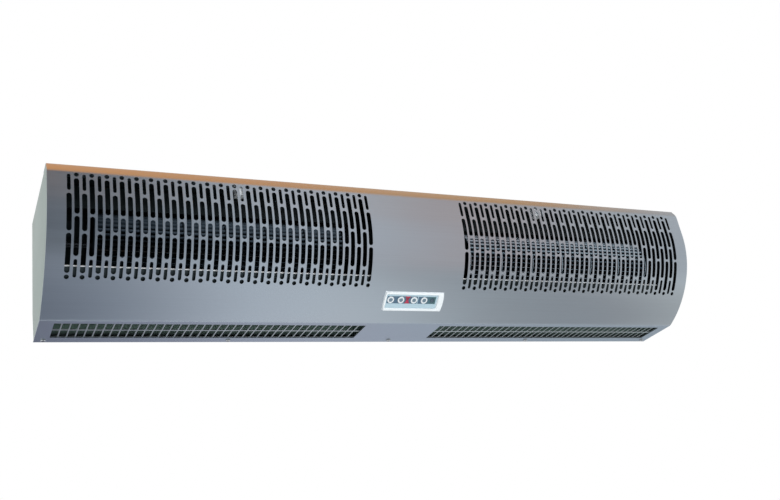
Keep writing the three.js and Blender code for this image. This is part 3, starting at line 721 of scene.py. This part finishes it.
def make_materials():
    """All finishes: one for each of the record's slots, and those that only some faces have."""
    own = colours()
    return {
        "stainless_cover": brushed_stainless(),
        "panel_paint": painted_steel(),
        # The sheets inside are a darker copy of the casing's zinc: painted shade, with a band of painted
        # light low in the ducts.
        "zinc_plated_steel": galvanised_steel("Weathered galvanised steel", own.shaded_inner_zinc, weathered=True),
        "casing_zinc": galvanised_steel("Galvanised steel", own.zinc),
        # Bright zinc: a painted highlight on the guides' front bend and a painted glint on the stays.
        "painted_glint_zinc": galvanised_steel("Clear passivated zinc", linear("#f4f8fa"), 0.4),
        # The wheels' aluminium is dark: painted shade inside the fan. Their edges have a painted sheen.
        "wheel_aluminium": plain_metal("Mill-finish aluminium", own.wheel, 0.34, (60, 1, 1), 700),
        "blade_edges": blade_edges(),
        "grille_steel": plain_metal("Plated grille steel", own.grille, 0.4),
        "motor_paint": moulded("Motor enamel", linear("#3a3f42"), 0.45, 1.2, 0.04),
        "shaft_steel": plain_metal("Ground shaft steel", linear("#6a6e71"), 0.28, scale=900),
        "black_rubber": moulded("Moulded rubber", linear("#1f2021"), 0.7, 0.8, 0.05),
        "bearing_bronze": plain_metal("Sintered bronze", linear("#a2804e"), 0.45, scale=1500),
        "heater_steel": plain_metal("Heat-tinted steel tube", linear("#6f6a60"), 0.42, (6, 1, 1), 200),
        "ceramic": moulded("Glazed steatite ceramic", linear("#a9cfd4"), 0.25, 1.5, 0.01, 0.05, 0.3),
        "white_plastic": moulded("White ABS", own.plastic, 0.34, 0.8, 0.015, 0.01),
        "label_film": label_film(),
        "button_plastic": moulded("Button ABS", linear("#e8eef2"), 0.3, 0.8, 0.01, 0.01),
        "button_face": moulded("Button film", own.button_face, 0.36, 1.0, 0.01, 0.02),
        "red_lens": indicator_lens(),
        "dark_lens": moulded("Dark tinted acrylic", linear("#3c5465"), 0.12, 2.0, 0.004, 0.02, 0.4),
        "board_laminate": circuit_board(),
        "phenolic": moulded("Moulded phenolic", linear("#3a2b22"), 0.42, 0.6, 0.03),
        "capacitor_plastic": moulded("Capacitor case polypropylene", linear("#d9dadb"), 0.42),
        "terminal_plastic": moulded("Terminal block polyamide", linear("#e6e4dc"), 0.48),
        "screw_steel": plain_metal("Bright plated screw steel", linear("#c2c6c8"), 0.24, scale=1200),
    }


# ---- cover


def slot_tool(length, width, along, drop):
    """A punch with round ends, square to the cover at a drop below the top of its belly."""
    ends = 18
    tool = drum(width / MM / 2 / math.cos(math.pi / ends), -PUNCH, PUNCH, ends)
    half = (length - width) / 2
    if half > 0:
        edit(tool)
        for sign in (1, -1):
            pick(tool, "verts", lambda v, s=sign: v.co.y * s > 0)
            bpy.ops.transform.translate(value=(0, sign * half, 0))
        done()
    depth, height, lean = skin(drop)
    return place(tool, stand(at(along, depth, height), math.pi / 2 + lean))


def field_tools(centre):
    """The punches of one intake field. Every other column is upside down."""
    size = sizes()
    shapes = {
        SHORT: (size.short_slot, size.short_slot_width),
        LONG: (size.long_slot, size.long_slot_width),
        HOLE: (size.hole, size.hole),
    }
    pitch = size.column_pitch / MM
    first = centre - (FIELD_COLUMNS - 1) / 2 * pitch
    columns = []
    for start, way in ((0, 1), (1, -1)):
        stack = [
            slot_tool(*shapes[kind], first + start * pitch, FIELD_MIDDLE_DROP + way * drop)
            for drop, kind in STACK
        ]
        columns.append(repeat(merge(*stack), (FIELD_COLUMNS + 1 - start) // 2, 2 * size.column_pitch))
    return columns


def panel_matrix():
    """The control panel's own frame: X along the length, Y up the cover, Z out of it."""
    (upper_depth, upper_height, _), (lower_depth, lower_height, _) = (skin(drop) for drop in PANEL_DROPS)
    lean = math.atan2(lower_depth - upper_depth, upper_height - lower_height)
    middle = at(PANEL_PLACE, (upper_depth + lower_depth) / 2, (upper_height + lower_height) / 2)
    return stand(middle, math.pi / 2 + lean)


def window_block(margin, low, high):
    """A block over the bezel's window with a margin round it, in the panel's frame."""
    left, right, bottom, top = WINDOW
    return block(
        Vector((left - margin, bottom - margin, low)) * MM, Vector((right + margin, top + margin, high)) * MM
    )


def screw_tools():
    return [
        place(drum(2.1, -PUNCH, PUNCH, 20), stand(at(along, SCREW_DEPTH, 0)))
        for along in SCREW_PLACES
    ]


class AIRCURTAIN_OT_cover(Operator):
    """Bent stainless cover, punched with two fields of openings, two outlets and the panel's window"""

    bl_idname = "air_curtain.cover"
    bl_label = "Front cover"

    def execute(self, context):
        size = sizes()
        sharp = size.bend_radius / MM
        bends = {
            (BEVEL_DEPTH, COVER_HEIGHT): sharp,
            (0, COVER_HEIGHT - BEVEL_DROP): 2.2 * sharp,
            (BOTTOM_BEND_DEPTH, 0): 2 * sharp,
        }
        cover = bent_sheet(cover_path(), size.cover_sheet / MM, -LENGTH / 2, LENGTH / 2, bends)
        tools = [tool for sign in (-1, 1) for tool in field_tools(sign * FIELD_CENTRE)]
        for sign in (-1, 1):
            low, high = sorted((sign * OUTLET_START, sign * OUTLET_END))
            tools.append(block(at(low, OUTLET_FRONT, -PUNCH), at(high, OUTLET_REAR, PUNCH)))
        tools.append(place(window_block(BEZEL_WALL + GAP, -PUNCH, PUNCH), panel_matrix()))
        cut(cover, *tools, *screw_tools())
        finish(cover, "cover_sheet", "front_cover", "stainless_cover")
        return {"FINISHED"}


class AIRCURTAIN_OT_end_panels(Operator):
    """Painted end panels: a plate with a rounded edge, and a rim turned in behind it"""

    bl_idname = "air_curtain.end_panels"
    bl_label = "End panels"

    def execute(self, context):
        sheet = sizes().casing_sheet / MM
        rim_width = 10
        outline = end_outline()
        rim_path = offset(outline, sheet + GAP, closed=True)
        for side, sign in SIDES:
            outer = sign * LENGTH / 2
            plate = trace([at(outer, *point) for point in outline], closed=True)
            extrude((-sign * sheet * MM, 0, 0))
            face_out()
            pick(plate, "edges", lambda e: all(abs(v.co.x - outer * MM) < 1e-6 for v in e.verts))
            bpy.ops.mesh.bevel(offset=0.9 * MM, segments=4, affect="EDGES")
            done()
            start = outer - sign * sheet / 2
            rim = trace([at(start, *point) for point in rim_path + rim_path[:1]])
            bpy.ops.mesh.remove_doubles(threshold=1e-5)
            extrude((-sign * (rim_width - sheet / 2) * MM, 0, 0))
            face_out()
            done()
            modify(rim, "SOLIDIFY", thickness=sheet * MM, offset=-1, use_even_offset=True)
            finish(merge(rim, plate), f"end_plate_{side}", f"end_panel_{side}", "panel_paint")
        return {"FINISHED"}


class AIRCURTAIN_OT_grilles(Operator):
    """Punched outlet grilles with two rows of cells"""

    bl_idname = "air_curtain.grilles"
    bl_label = "Outlet grilles"

    def execute(self, context):
        size = sizes()
        bar = size.grille_bar / MM
        length = OUTLET_END - OUTLET_START
        pitch = (length + bar) / GRILLE_CELLS
        middle = (OUTLET_FRONT + OUTLET_REAR) / 2
        low = 1 + GAP
        lap = 1.5
        for side, sign in SIDES:
            start = OUTLET_START if sign > 0 else -OUTLET_END
            grille = block(
                at(start - lap, OUTLET_FRONT - lap, low),
                at(start + length + lap, OUTLET_REAR + lap, low + size.grille_sheet / MM),
            )
            cells = []
            for front, rear in ((OUTLET_FRONT + 1, middle - 1.5), (middle + 1.5, OUTLET_REAR - 1)):
                cell = block(at(start, front, -5), at(start + pitch - bar, rear, 15))
                round_edges(cell, along_axis(2), 0.9 * MM, 3)
                cells.append(repeat(cell, GRILLE_CELLS, pitch * MM))
            cut(grille, *cells)
            finish(grille, f"grille_{side}", f"outlet_grille_{side}", "grille_steel")
        return {"FINISHED"}


class AIRCURTAIN_OT_screws(Operator):
    """Pan-head screws with a cross recess, along the bottom edge"""

    bl_idname = "air_curtain.screws"
    bl_label = "Cover screws"

    def execute(self, context):
        # The head hangs below the cover, so it is modelled upside down, its seat at Z 0.
        head = drum(3.6, 0.3, 2.1)
        round_edges(head, lambda e: all(v.co.z > 2 * MM for v in e.verts), 1.1 * MM, 5)
        for turn in (0, math.pi / 2):
            recess = block(Vector((-1.9, -0.45, 1.1)) * MM, Vector((1.9, 0.45, 3)) * MM)
            cut(head, place(recess, Matrix.Rotation(turn + 0.4, 4, "Z")))
        unite(head, drum(1.7, -4.2, 0.6, 20))
        place(head, Matrix.Rotation(math.pi, 4, "X"))
        for index, along in enumerate(SCREW_PLACES, 1):
            screw = copy_of(head, at(along, SCREW_DEPTH, 0))
            finish(screw, f"screw_{index}", f"cover_screw_{index}", "screw_steel")
        bpy.data.objects.remove(head)
        return {"FINISHED"}


def wall_punch(along, half, low, high):
    """A punch with rounded corners for the casing's back."""
    punch = block(at(along - half, CASING_REAR - 5, low), at(along + half, DEPTH + 5, high))
    return round_edges(punch, along_axis(1), 1.8 * MM)


def cable_place():
    """Stands a piece made along Z where the cable comes in, along the depth."""
    along, height = GROMMET_PLACE
    return stand(at(along, CASING_REAR, height), -math.pi / 2)


class AIRCURTAIN_OT_casing(Operator):
    """Rear casing: back, top and rear bottom edge in one bent sheet, with its slots and windows"""

    bl_idname = "air_curtain.casing"
    bl_label = "Rear casing"

    def execute(self, context):
        sheet = sizes().casing_sheet / MM
        top = COVER_HEIGHT - 1 - GAP
        fold = 18
        path = [
            (fold, top - 12), (fold, top), (CASING_REAR, top), (CASING_REAR, CASING_CHAMFER[1]),
            (CASING_CHAMFER[0], 1 + GAP), (163, 1 + GAP),
        ]
        end = LENGTH / 2 - sheet - GAP
        casing = bent_sheet(path, -sheet, -end, end, dict.fromkeys(path[1:-1], 2))
        punches = [wall_punch(along, 15, 116, 130.3) for along in HOOK_PLACES]
        punches += [
            wall_punch(along, 14, WALL_SCREW_HEIGHT - 18, WALL_SCREW_HEIGHT + 7)
            for along in WALL_SCREW_PLACES
        ]
        punches.append(place(drum(10, -PUNCH, PUNCH, 40), cable_place()))
        # The fold's ends are cut away, so that the end panels' rims go past it.
        for sign in (-1, 1):
            low, high = sorted((sign * (end - 13.5), sign * (end + 5)))
            punches.append(block(at(low, fold - 2, top - 21), at(high, fold + 3, top - sheet)))
        cut(casing, *punches, *screw_tools())
        # The inner faces have the darker inner zinc: painted shade inside the casing.
        inside = at(0, AXIS_DEPTH, AXIS_HEIGHT)
        coat(
            casing, ("casing_zinc", "zinc_plated_steel"),
            lambda face: face.normal.yz.dot((inside - face.center).yz) > 0.02,
        )
        finish(casing, "back_sheet", "rear_casing", "zinc_plated_steel")
        return {"FINISHED"}


class AIRCURTAIN_OT_bracket(Operator):
    """Wall bracket: a strip with four hooks bent up and four slots for the wall screws"""

    bl_idname = "air_curtain.bracket"
    bl_label = "Wall bracket"

    def execute(self, context):
        strip = block(at(-430, DEPTH - 2, 95), at(430, DEPTH, 145))
        round_edges(strip, along_axis(1), 5 * MM)
        low, high = WALL_SCREW_HEIGHT - 4, WALL_SCREW_HEIGHT + 4
        slots = [
            block(at(along - 10, DEPTH - PUNCH, low), at(along + 10, DEPTH + PUNCH, high))
            for along in WALL_SCREW_PLACES
        ]
        cut(strip, *[round_edges(slot, along_axis(1), 3.9 * MM, 8) for slot in slots])
        tip = 138
        profile = [(DEPTH - 1, 128), (176, 128), (176, tip)]
        tip_line = at(0, 0, tip - 0.1).z
        for along in HOOK_PLACES:
            hook = bent_sheet(profile, -2, along - 13, along + 13, dict.fromkeys(profile[1:-1], 2.4))
            round_edges(hook, lambda e: along_axis(1)(e) and all(v.co.z > tip_line for v in e.verts), 3 * MM)
            unite(strip, hook)
        soften(strip, 0.25, segments=2)
        finish(coat(strip, ("casing_zinc",)), "hook_strip", "wall_bracket", "zinc_plated_steel")
        return {"FINISHED"}


class AIRCURTAIN_OT_grommet(Operator):
    """Rubber grommet in the back, where the mains cable would come in"""

    bl_idname = "air_curtain.grommet"
    bl_label = "Cable grommet"

    def execute(self, context):
        grommet = turned([
            (5, -4.4), (9, -4.4), (12.4, -3.9), (13, -3.2), (13, -1.5), (9.7, -1.5),
            (9.7, GAP), (13, GAP), (13, 1.2), (12.4, 1.8), (9, 1.9), (6, 1.9), (5, 1),
        ])
        finish(place(grommet, cable_place()), "grommet", "cable_grommet", "black_rubber")
        return {"FINISHED"}


class AIRCURTAIN_OT_guides(Operator):
    """Air guides with a rounded front edge, and the spring stays that steady the cover"""

    bl_idname = "air_curtain.guides"
    bl_label = "Air guides and stays"

    def execute(self, context):
        chamber = (CHAMBER_START + 1.6, CHAMBER_END - 0.4)
        edge = (34.5, 54.4)
        path = [(96, 5.2), (OUTLET_FRONT - 1.1, 5.2), (80, 56), (66, 66), edge, (55, 32)]
        clip = [(16.7, 190), (16.7, 162), (3.5, 162), (3.5, 176)]
        half_clip = 6
        hem = at(0, *edge)
        for side, sign in SIDES:
            start, end = sorted(sign * along for along in chamber)
            guide = bent_sheet(path, 1, start, end, dict.fromkeys(path[1:-1], 2.2))
            if sign > 0:
                cut(guide, block(at(WHEEL_END + 1.6, 20, 20), at(end + 5, 62, 70)))
            # The bend of the front edge is bright zinc: a painted highlight for the light it catches.
            coat(
                guide, ("zinc_plated_steel", "painted_glint_zinc"),
                lambda face: (face.center - hem).yz.length < 3 * MM,
            )
            finish(guide, f"guide_{side}", f"air_guide_{side}", "zinc_plated_steel")
            middle = STAY_PLACES[side]
            stay = bent_sheet(
                clip, -1, middle - half_clip, middle + half_clip, dict.fromkeys(clip[1:-1], 2)
            )
            # The stays are bright zinc: a painted glint.
            finish(coat(stay, ("painted_glint_zinc",)), f"stay_{side}", f"cover_stay_{side}", "zinc_plated_steel")
        return {"FINISHED"}


def tube(points, radius, sides=4):
    """A round tube along a wire drawn point by point, with closed ends."""
    trace(points)
    only(done())
    bpy.ops.object.convert(target="CURVE")
    curve = bpy.context.object
    curve.data.bevel_depth = radius
    curve.data.bevel_resolution = sides
    curve.data.use_fill_caps = True
    bpy.ops.object.convert(target="MESH")
    return bpy.context.object


class AIRCURTAIN_OT_heaters(Operator):
    """Heating elements: a hairpin of steel tube with ceramic beads on its terminals"""

    bl_idname = "air_curtain.heaters"
    bl_label = "Heating elements"

    def execute(self, context):
        front, rear = HEATER_DEPTHS
        bend = (rear - front) / 2
        steps = 12
        arc = [math.pi * step / steps for step in range(steps + 1)]
        for side, sign in SIDES:
            turn_at = sign * (HEATER_END - bend - HEATER_RADIUS)
            points = [at(sign * HEATER_START, front, HEATER_HEIGHT)]
            points += [
                at(turn_at + sign * bend * math.sin(a), front + bend * (1 - math.cos(a)), HEATER_HEIGHT)
                for a in arc
            ]
            points.append(at(sign * HEATER_START, rear, HEATER_HEIGHT))
            element = tube(points, (HEATER_RADIUS - 0.4) * MM)
            beads = []
            for depth in HEATER_DEPTHS:
                bead = turned([(3.6, 6), (4, 5.6), (4, 19), (5, 20), (5, 25), (3.6, 26)], 24)
                terminal = at(sign * HEATER_START, depth, HEATER_HEIGHT)
                beads.append(coat(place(bead, stand(terminal, sign * math.pi / 2, "Y")), ("ceramic",)))
            coat(element, ("heater_steel",))
            finish(merge(*beads, element), f"element_{side}", f"heater_{side}", "heater_steel")
        return {"FINISHED"}


# ---- fan


def washer(radius, bore, thickness, along):
    """A disc with a hole, square to the wheels' axis, its left face at a place along it."""
    disc = drum(radius, 0, thickness, 60)
    bore_sides = 60 if bore > HUB_BORE else 40
    cut(disc, drum(bore, -1, thickness + 2, bore_sides))
    return place(disc, stand(at(along, AXIS_DEPTH, AXIS_HEIGHT), math.pi / 2, "Y"))


class AIRCURTAIN_OT_wheels(Operator):
    """Cross-flow fan wheels: curved blades held by end discs and thin rings between them"""

    bl_idname = "air_curtain.wheels"
    bl_label = "Fan wheels"

    def execute(self, context):
        blades = sizes().blades
        axis = at(0, AXIS_DEPTH, AXIS_HEIGHT)
        length = WHEEL_END - WHEEL_START
        curve = [(38 + 7.6 * t, -0.1 * t * t) for t in (0, 0.3, 0.55, 0.8, 1)]
        section = [(AXIS_DEPTH + r * math.cos(lean), AXIS_HEIGHT + r * math.sin(lean)) for r, lean in curve]
        bay_count = 6
        disc_sheet = 2
        edge_line = WHEEL_RADIUS * MM - 1.4 * MM
        for side, sign in SIDES:
            start = WHEEL_START if sign > 0 else -WHEEL_END
            wheel = bent_sheet(section, 0.5, start + 1, start + length - 1)
            edit(wheel)
            bpy.ops.mesh.select_all(action="SELECT")
            bpy.ops.mesh.spin(
                steps=blades - 1, dupli=True, angle=2 * math.pi * (blades - 1) / blades,
                center=axis, axis=(1, 0, 0),
            )
            done()
            rings = washer(WHEEL_RADIUS, 36.5, 1.2, start + 0.4)
            repeat(rings, bay_count + 1, (length - 2) / bay_count * MM)
            # The disc towards the motor holds a rubber hub, and the other one the stub shaft.
            bores = (HUB_BORE, SHAFT_BORE)[::sign]
            discs = [
                washer(37, bore, disc_sheet, along)
                for along, bore in zip((start, start + length - disc_sheet), bores)
            ]
            # The blade edges have the painted sheen: pale on the right wheel, dim on the left.
            piece = coat(
                merge(rings, *discs, wheel), ("wheel_aluminium", "blade_edges"),
                lambda face: (face.center - axis).yz.length > edge_line,
            )
            finish(piece, f"wheel_{side}", f"fan_wheel_{side}", "wheel_aluminium", "rotor")
        return {"FINISHED"}


# ---- control panel


def two_sides(steps):
    """Goes up one side of an outline and down the other: the side, and the place from -1 to 1."""
    for sign in (1, -1):
        for step in range(steps + 1):
            yield sign, (step / steps * 2 - 1) * sign


def on_line(along):
    """A place on the panel's line of buttons, in the panel's frame."""
    return stand(Vector((along, BUTTON_LINE, 0)) * MM)


def hourglass(width, height, waist, low, high, along):
    """A plate between two round neighbours: its sides curve in."""
    outline = []
    for sign, up in two_sides(8):
        half = waist / 2 + (width - waist) / 2 * up * up
        outline.append(Vector((along + sign * half, BUTTON_LINE + up * height / 2, low)) * MM)
    trace(outline, closed=True)
    extrude((0, 0, (high - low) * MM))
    face_out()
    return done()


def panel_holes():
    """Punches for the buttons, the indicator and the receiver window, in the panel's frame."""
    radius = sizes().button / MM / 2 + GAP
    holes = [place(drum(radius, -20, 20, 48), on_line(along)) for along in BUTTON_PLACES]
    holes.append(hourglass(10.1, 12.6, 4.6, -20, 20, INDICATOR_PLACE))
    return [*holes, place(drum(3.8, -20, 20), on_line(RECEIVER_PLACE))]


class AIRCURTAIN_OT_bezel(Operator):
    """White bezel with sloping sides, its label, the indicator lens and the receiver window"""

    bl_idname = "air_curtain.bezel"
    bl_label = "Control bezel"

    def execute(self, context):
        panel = panel_matrix()
        half_length, half_height = BEZEL_HALF
        low, high = 0.3 * MM, 4.2 * MM
        slope = 1.2
        outline = []
        for sign, up in two_sides(10):
            along = sign * (half_length + BEZEL_CROWN * (1 - up * up))
            outline.append(Vector((along * MM, up * half_height * MM, low)))
        bezel = trace(outline, closed=True)
        extrude((0, 0, high - low))
        face_out()
        pick(bezel, "faces", looks_up)
        bpy.ops.transform.resize(value=(1 - slope / half_length, 1 - slope / half_height, 1))
        done()
        unite(bezel, window_block(BEZEL_WALL, -9, 0.8))
        cut(bezel, window_block(0, -20, 0.2))
        opening = window_block(0, 1.6, 8)
        edit(opening)
        pick(opening, "faces", looks_up)
        # The window's walls slope too: its front is 5.2 mm longer and 4.4 mm higher.
        bpy.ops.transform.resize(value=(1 + 5.2 / 90, 1 + 4.4 / 23.7, 1))
        done()
        cut(bezel, opening)
        cut(bezel, *panel_holes())
        soften(bezel, 0.35, 40)
        finish(place(bezel, panel), "bezel", "control_bezel", "white_plastic")
        label = window_block(-GAP, 1.9, 2.4)
        cut(label, *panel_holes())
        finish(place(label, panel), "label", "label_plate", "label_film")
        lens = hourglass(9.5, 12, 4, 0.2, 2.9, INDICATOR_PLACE)
        soften(lens, 0.3)
        finish(place(lens, panel), "lens", "indicator_lens", "red_lens")
        window = drum(3.4, 0.2, 2.7, 40)
        soften(window, 0.3)
        place(window, on_line(RECEIVER_PLACE))
        finish(place(window, panel), "receiver", "receiver_window", "dark_lens")
        return {"FINISHED"}


class AIRCURTAIN_OT_buttons(Operator):
    """Round push buttons with a raised white ring round a sunk face"""

    bl_idname = "air_curtain.buttons"
    bl_label = "Push buttons"

    def execute(self, context):
        radius = sizes().button / MM / 2
        ring = 2.3
        master = drum(radius, -3, 3.3, 48)
        edit(master)
        pick(master, "faces", looks_up)
        bpy.ops.mesh.inset(thickness=ring * MM)
        extrude((0, 0, -0.6 * MM))
        bpy.ops.mesh.inset(thickness=1.0 * MM)
        bpy.ops.transform.translate(value=(0, 0, 0.3 * MM))
        done()
        unite(master, drum(radius + 1, -1.3, -0.1, 48))
        soften(master, 0.25)
        coat(
            master, ("button_plastic", "button_face"),
            lambda face: face.center.xy.length < (radius - ring) * MM and face.center.z > 2 * MM,
        )
        for index, along in enumerate(BUTTON_PLACES, 1):
            button = copy_of(master, Vector((along, BUTTON_LINE, 0)) * MM)
            place(button, panel_matrix())
            finish(button, f"push_button_{index}", f"button_{index}", "button_plastic", f"button_{index}")
        bpy.data.objects.remove(master)
        return {"FINISHED"}


# ---- finishes and stage


class AIRCURTAIN_OT_finishes(Operator):
    """Gives every node that stays as it is the finish of its slot"""

    bl_idname = "air_curtain.finishes"
    bl_label = "Finishes"

    def execute(self, context):
        slots = {entry["node"]: entry["material_slot"] for entry in frame["record"]["subparts"]}
        for name, node in frame["nodes"].items():
            if not node.hide_render:
                coat(node, (slots[name],))
        return {"FINISHED"}


def seen_rays(owner, straight=1.0):
    """How much of the backdrop shows: wholly in metal and through glass, partly when seen straight."""
    ray = add(owner, "LightPath").outputs
    direct = calc("MULTIPLY", ray["Is Camera Ray"], straight)
    mirrored = calc("MAXIMUM", direct, ray["Is Glossy Ray"])
    return calc("MAXIMUM", mirrored, ray["Is Transmission Ray"])


def card(name, tones, spread, shift, place_at, height, turn, strength=1.0):
    """A studio card that only shows as a soft shade in the metal.

    Seen by the camera, a place x along the cover mirrors the card at spread * x + shift, so the
    tones are given for places along the cover.
    """
    bpy.ops.object.select_all(action="DESELECT")
    bpy.ops.mesh.primitive_plane_add(size=1, location=(shift, *place_at), rotation=turn)
    sheet = bpy.context.object
    sheet.name = name
    sheet.scale = (spread * CARD_SPAN, height, 1)
    material, where = begin(name)
    along = between(add(where, "SeparateXYZ", Vector=where).outputs["X"], 0, 1, -0.5, 0.5)
    ramp = add(where, "ValToRGB", Fac=along)
    stops = ramp.color_ramp.elements
    while len(stops) < len(tones):
        stops.new(0.5)
    for stop, (place_along, code) in zip(stops, tones):
        stop.position = place_along / CARD_SPAN + 0.5
        stop.color = linear(code)
    glow = add(where, "Emission", Color=ramp.outputs["Color"], Strength=strength)
    add(where, "OutputMaterial", Surface=glow.outputs[0])
    sheet.data.materials.append(material)
    for kind in ("camera", "diffuse", "transmission", "shadow"):
        setattr(sheet, f"visible_{kind}", False)


def area_light(name, place_at, width, power):
    """A soft lamp that looks at the middle of the object."""
    light = bpy.data.lights.new(name, "AREA")
    light.shape = "RECTANGLE"
    light.size = width
    light.size_y = LAMP_HEIGHT
    light.energy = power
    obj = bpy.data.objects.new(name, light)
    bpy.context.scene.collection.objects.link(obj)
    # The steel shows the white surroundings and not the lamps.
    obj.visible_glossy = False
    obj.location = place_at
    obj.rotation_euler = (-Vector(place_at)).to_track_quat("-Z", "Y").to_euler()


class AIRCURTAIN_OT_stage(Operator):
    """Pale floor, soft studio lights and the camera"""

    bl_idname = "air_curtain.stage"
    bl_label = "Stage"

    def execute(self, context):
        scene = context.scene
        scene.view_settings.view_transform = "Standard"

        camera = bpy.data.cameras.new("camera")
        camera.lens = CAMERA_LENS
        camera.sensor_width = 36
        viewer = bpy.data.objects.new("camera", camera)
        scene.collection.objects.link(viewer)
        right, up = Vector(CAMERA_RIGHT), Vector(CAMERA_UP)
        turn = Matrix((right, up, right.cross(up))).transposed().to_4x4()
        viewer.matrix_world = Matrix.Translation(CAMERA_PLACE) @ turn
        scene.camera = viewer

        bpy.ops.object.select_all(action="DESELECT")
        bpy.ops.mesh.primitive_circle_add(
            vertices=64, radius=14, fill_type="NGON", location=(0, 0, FLOOR_HEIGHT)
        )
        floor = bpy.context.object
        floor.name = "floor"
        material, where = begin("Pale floor")
        diffuse = add(where, "BsdfDiffuse", Color=linear("#e4e4e2"))
        glow = add(where, "Emission", Color=tuple(colours().backdrop), Strength=1.0)
        # Half of what is seen near the object is the lit floor, so the shadow on it stays.
        far = add(where, "VectorMath", {"operation": "LENGTH"}, _0=where).outputs["Value"]
        white = seen_rays(where, between(far, 0.5, 1, 2, 6))
        mix = add(where, "MixShader", _0=white, _1=diffuse.outputs[0], _2=glow.outputs[0])
        add(where, "OutputMaterial", Surface=mix.outputs[0])
        floor.data.materials.append(material)

        world = bpy.data.worlds.new("studio")
        world.use_nodes = True
        scene.world = world
        tree = world.node_tree
        tree.nodes.clear()
        white = add(tree, "Background", Color=tuple(colours().backdrop), Strength=1.0)
        soft = add(tree, "Background", Color=linear("#eef2f6"), Strength=0.7)
        mix = add(tree, "MixShader", _0=seen_rays(tree), _1=soft.outputs[0], _2=white.outputs[0])
        add(tree, "OutputWorld", Surface=mix.outputs[0])

        # Greys and tints in a few plain steps, set until spots of the render came close to the
        # photograph: a dim room at the left, a bright one from the middle on, a warm ceiling.
        low = (
            (-0.75, "#545860"), (-0.5, "#9094a0"), (-0.28, "#f4f4f8"),
            (-0.1, "#fcfcfc"), (0.1, "#c0c0c0"), (0.4, "#acacb0"), (0.55, "#f0ece4"),
        )
        front = (
            (-0.75, "#30343c"), (-0.5, "#70747c"), (-0.22, "#f4f8fc"),
            (0.0, "#d8d0d0"), (0.1, "#dca898"), (0.22, "#dcdcdc"),
        )
        back = ((-0.75, "#545460"), (-0.45, "#a0a0b0"), (-0.2, "#ccccd8"), (0.3, "#bcc4cc"))
        warm = ((-0.6, "#ffac68"), (0.0, "#e8b080"), (0.24, "#e0a870"), (0.52, "#c0c0c0"))
        card("card_front", front, 1.9, 0.612, (-1.2, 0.15), 2.1, FACING_FRONT)
        card("card_low", low, 1.66, 0.449, (-0.35, -0.9), 1.7, LYING)
        card("card_back", back, 1.9, 0.612, (1.0, -0.6), 1.2, FACING_FRONT)
        card("card_top", warm, 1.85, 0.578, (-0.5, 1.2), 1.4, LYING, 1.2)
        area_light("key", (1.6, -2.6, 1.6), 2.2, 40)
        area_light("fill", (-2.4, -1.6, 0.2), 1.6, 7)
        area_light("low", (0.4, -2.2, -1.5), 2.4, 24)
        area_light("top", (0, -0.6, 2.2), 3.0, 20)
        return {"FINISHED"}


class AIRCURTAIN_PT_panel(Panel):
    """Sidebar panel that lists the air curtain's pieces"""

    bl_label = "Air Curtain"
    bl_space_type = "VIEW_3D"
    bl_region_type = "UI"
    bl_category = "Air Curtain"

    def draw(self, context):
        layout = self.layout
        for operator in PIECES:
            layout.operator(operator.bl_idname)
        for group in (sizes(), colours()):
            column = layout.column()
            for name in group.__annotations__:
                column.prop(group, name)


MATERIALS = {}

PIECES = (
    AIRCURTAIN_OT_cover,
    AIRCURTAIN_OT_end_panels,
    AIRCURTAIN_OT_grilles,
    AIRCURTAIN_OT_screws,
    AIRCURTAIN_OT_casing,
    AIRCURTAIN_OT_bracket,
    AIRCURTAIN_OT_grommet,
    AIRCURTAIN_OT_guides,
    AIRCURTAIN_OT_heaters,
    AIRCURTAIN_OT_wheels,
    AIRCURTAIN_OT_bezel,
    AIRCURTAIN_OT_buttons,
    AIRCURTAIN_OT_finishes,
    AIRCURTAIN_OT_stage,
)
CLASSES = (AirCurtainSizes, AirCurtainColours, *PIECES, AIRCURTAIN_PT_panel)


def register():
    for item in CLASSES:
        bpy.utils.register_class(item)
    bpy.types.Scene.air_curtain_sizes = PointerProperty(type=AirCurtainSizes)
    bpy.types.Scene.air_curtain_colours = PointerProperty(type=AirCurtainColours)


def unregister():
    del bpy.types.Scene.air_curtain_colours
    del bpy.types.Scene.air_curtain_sizes
    for item in reversed(CLASSES):
        bpy.utils.unregister_class(item)


def main():
    """Builds every piece in order."""
    register()
    MATERIALS.update(make_materials())
    for operator in PIECES:
        group, name = operator.bl_idname.split(".")
        getattr(getattr(bpy.ops, group), name)()


if __name__ == "__main__":
    main()
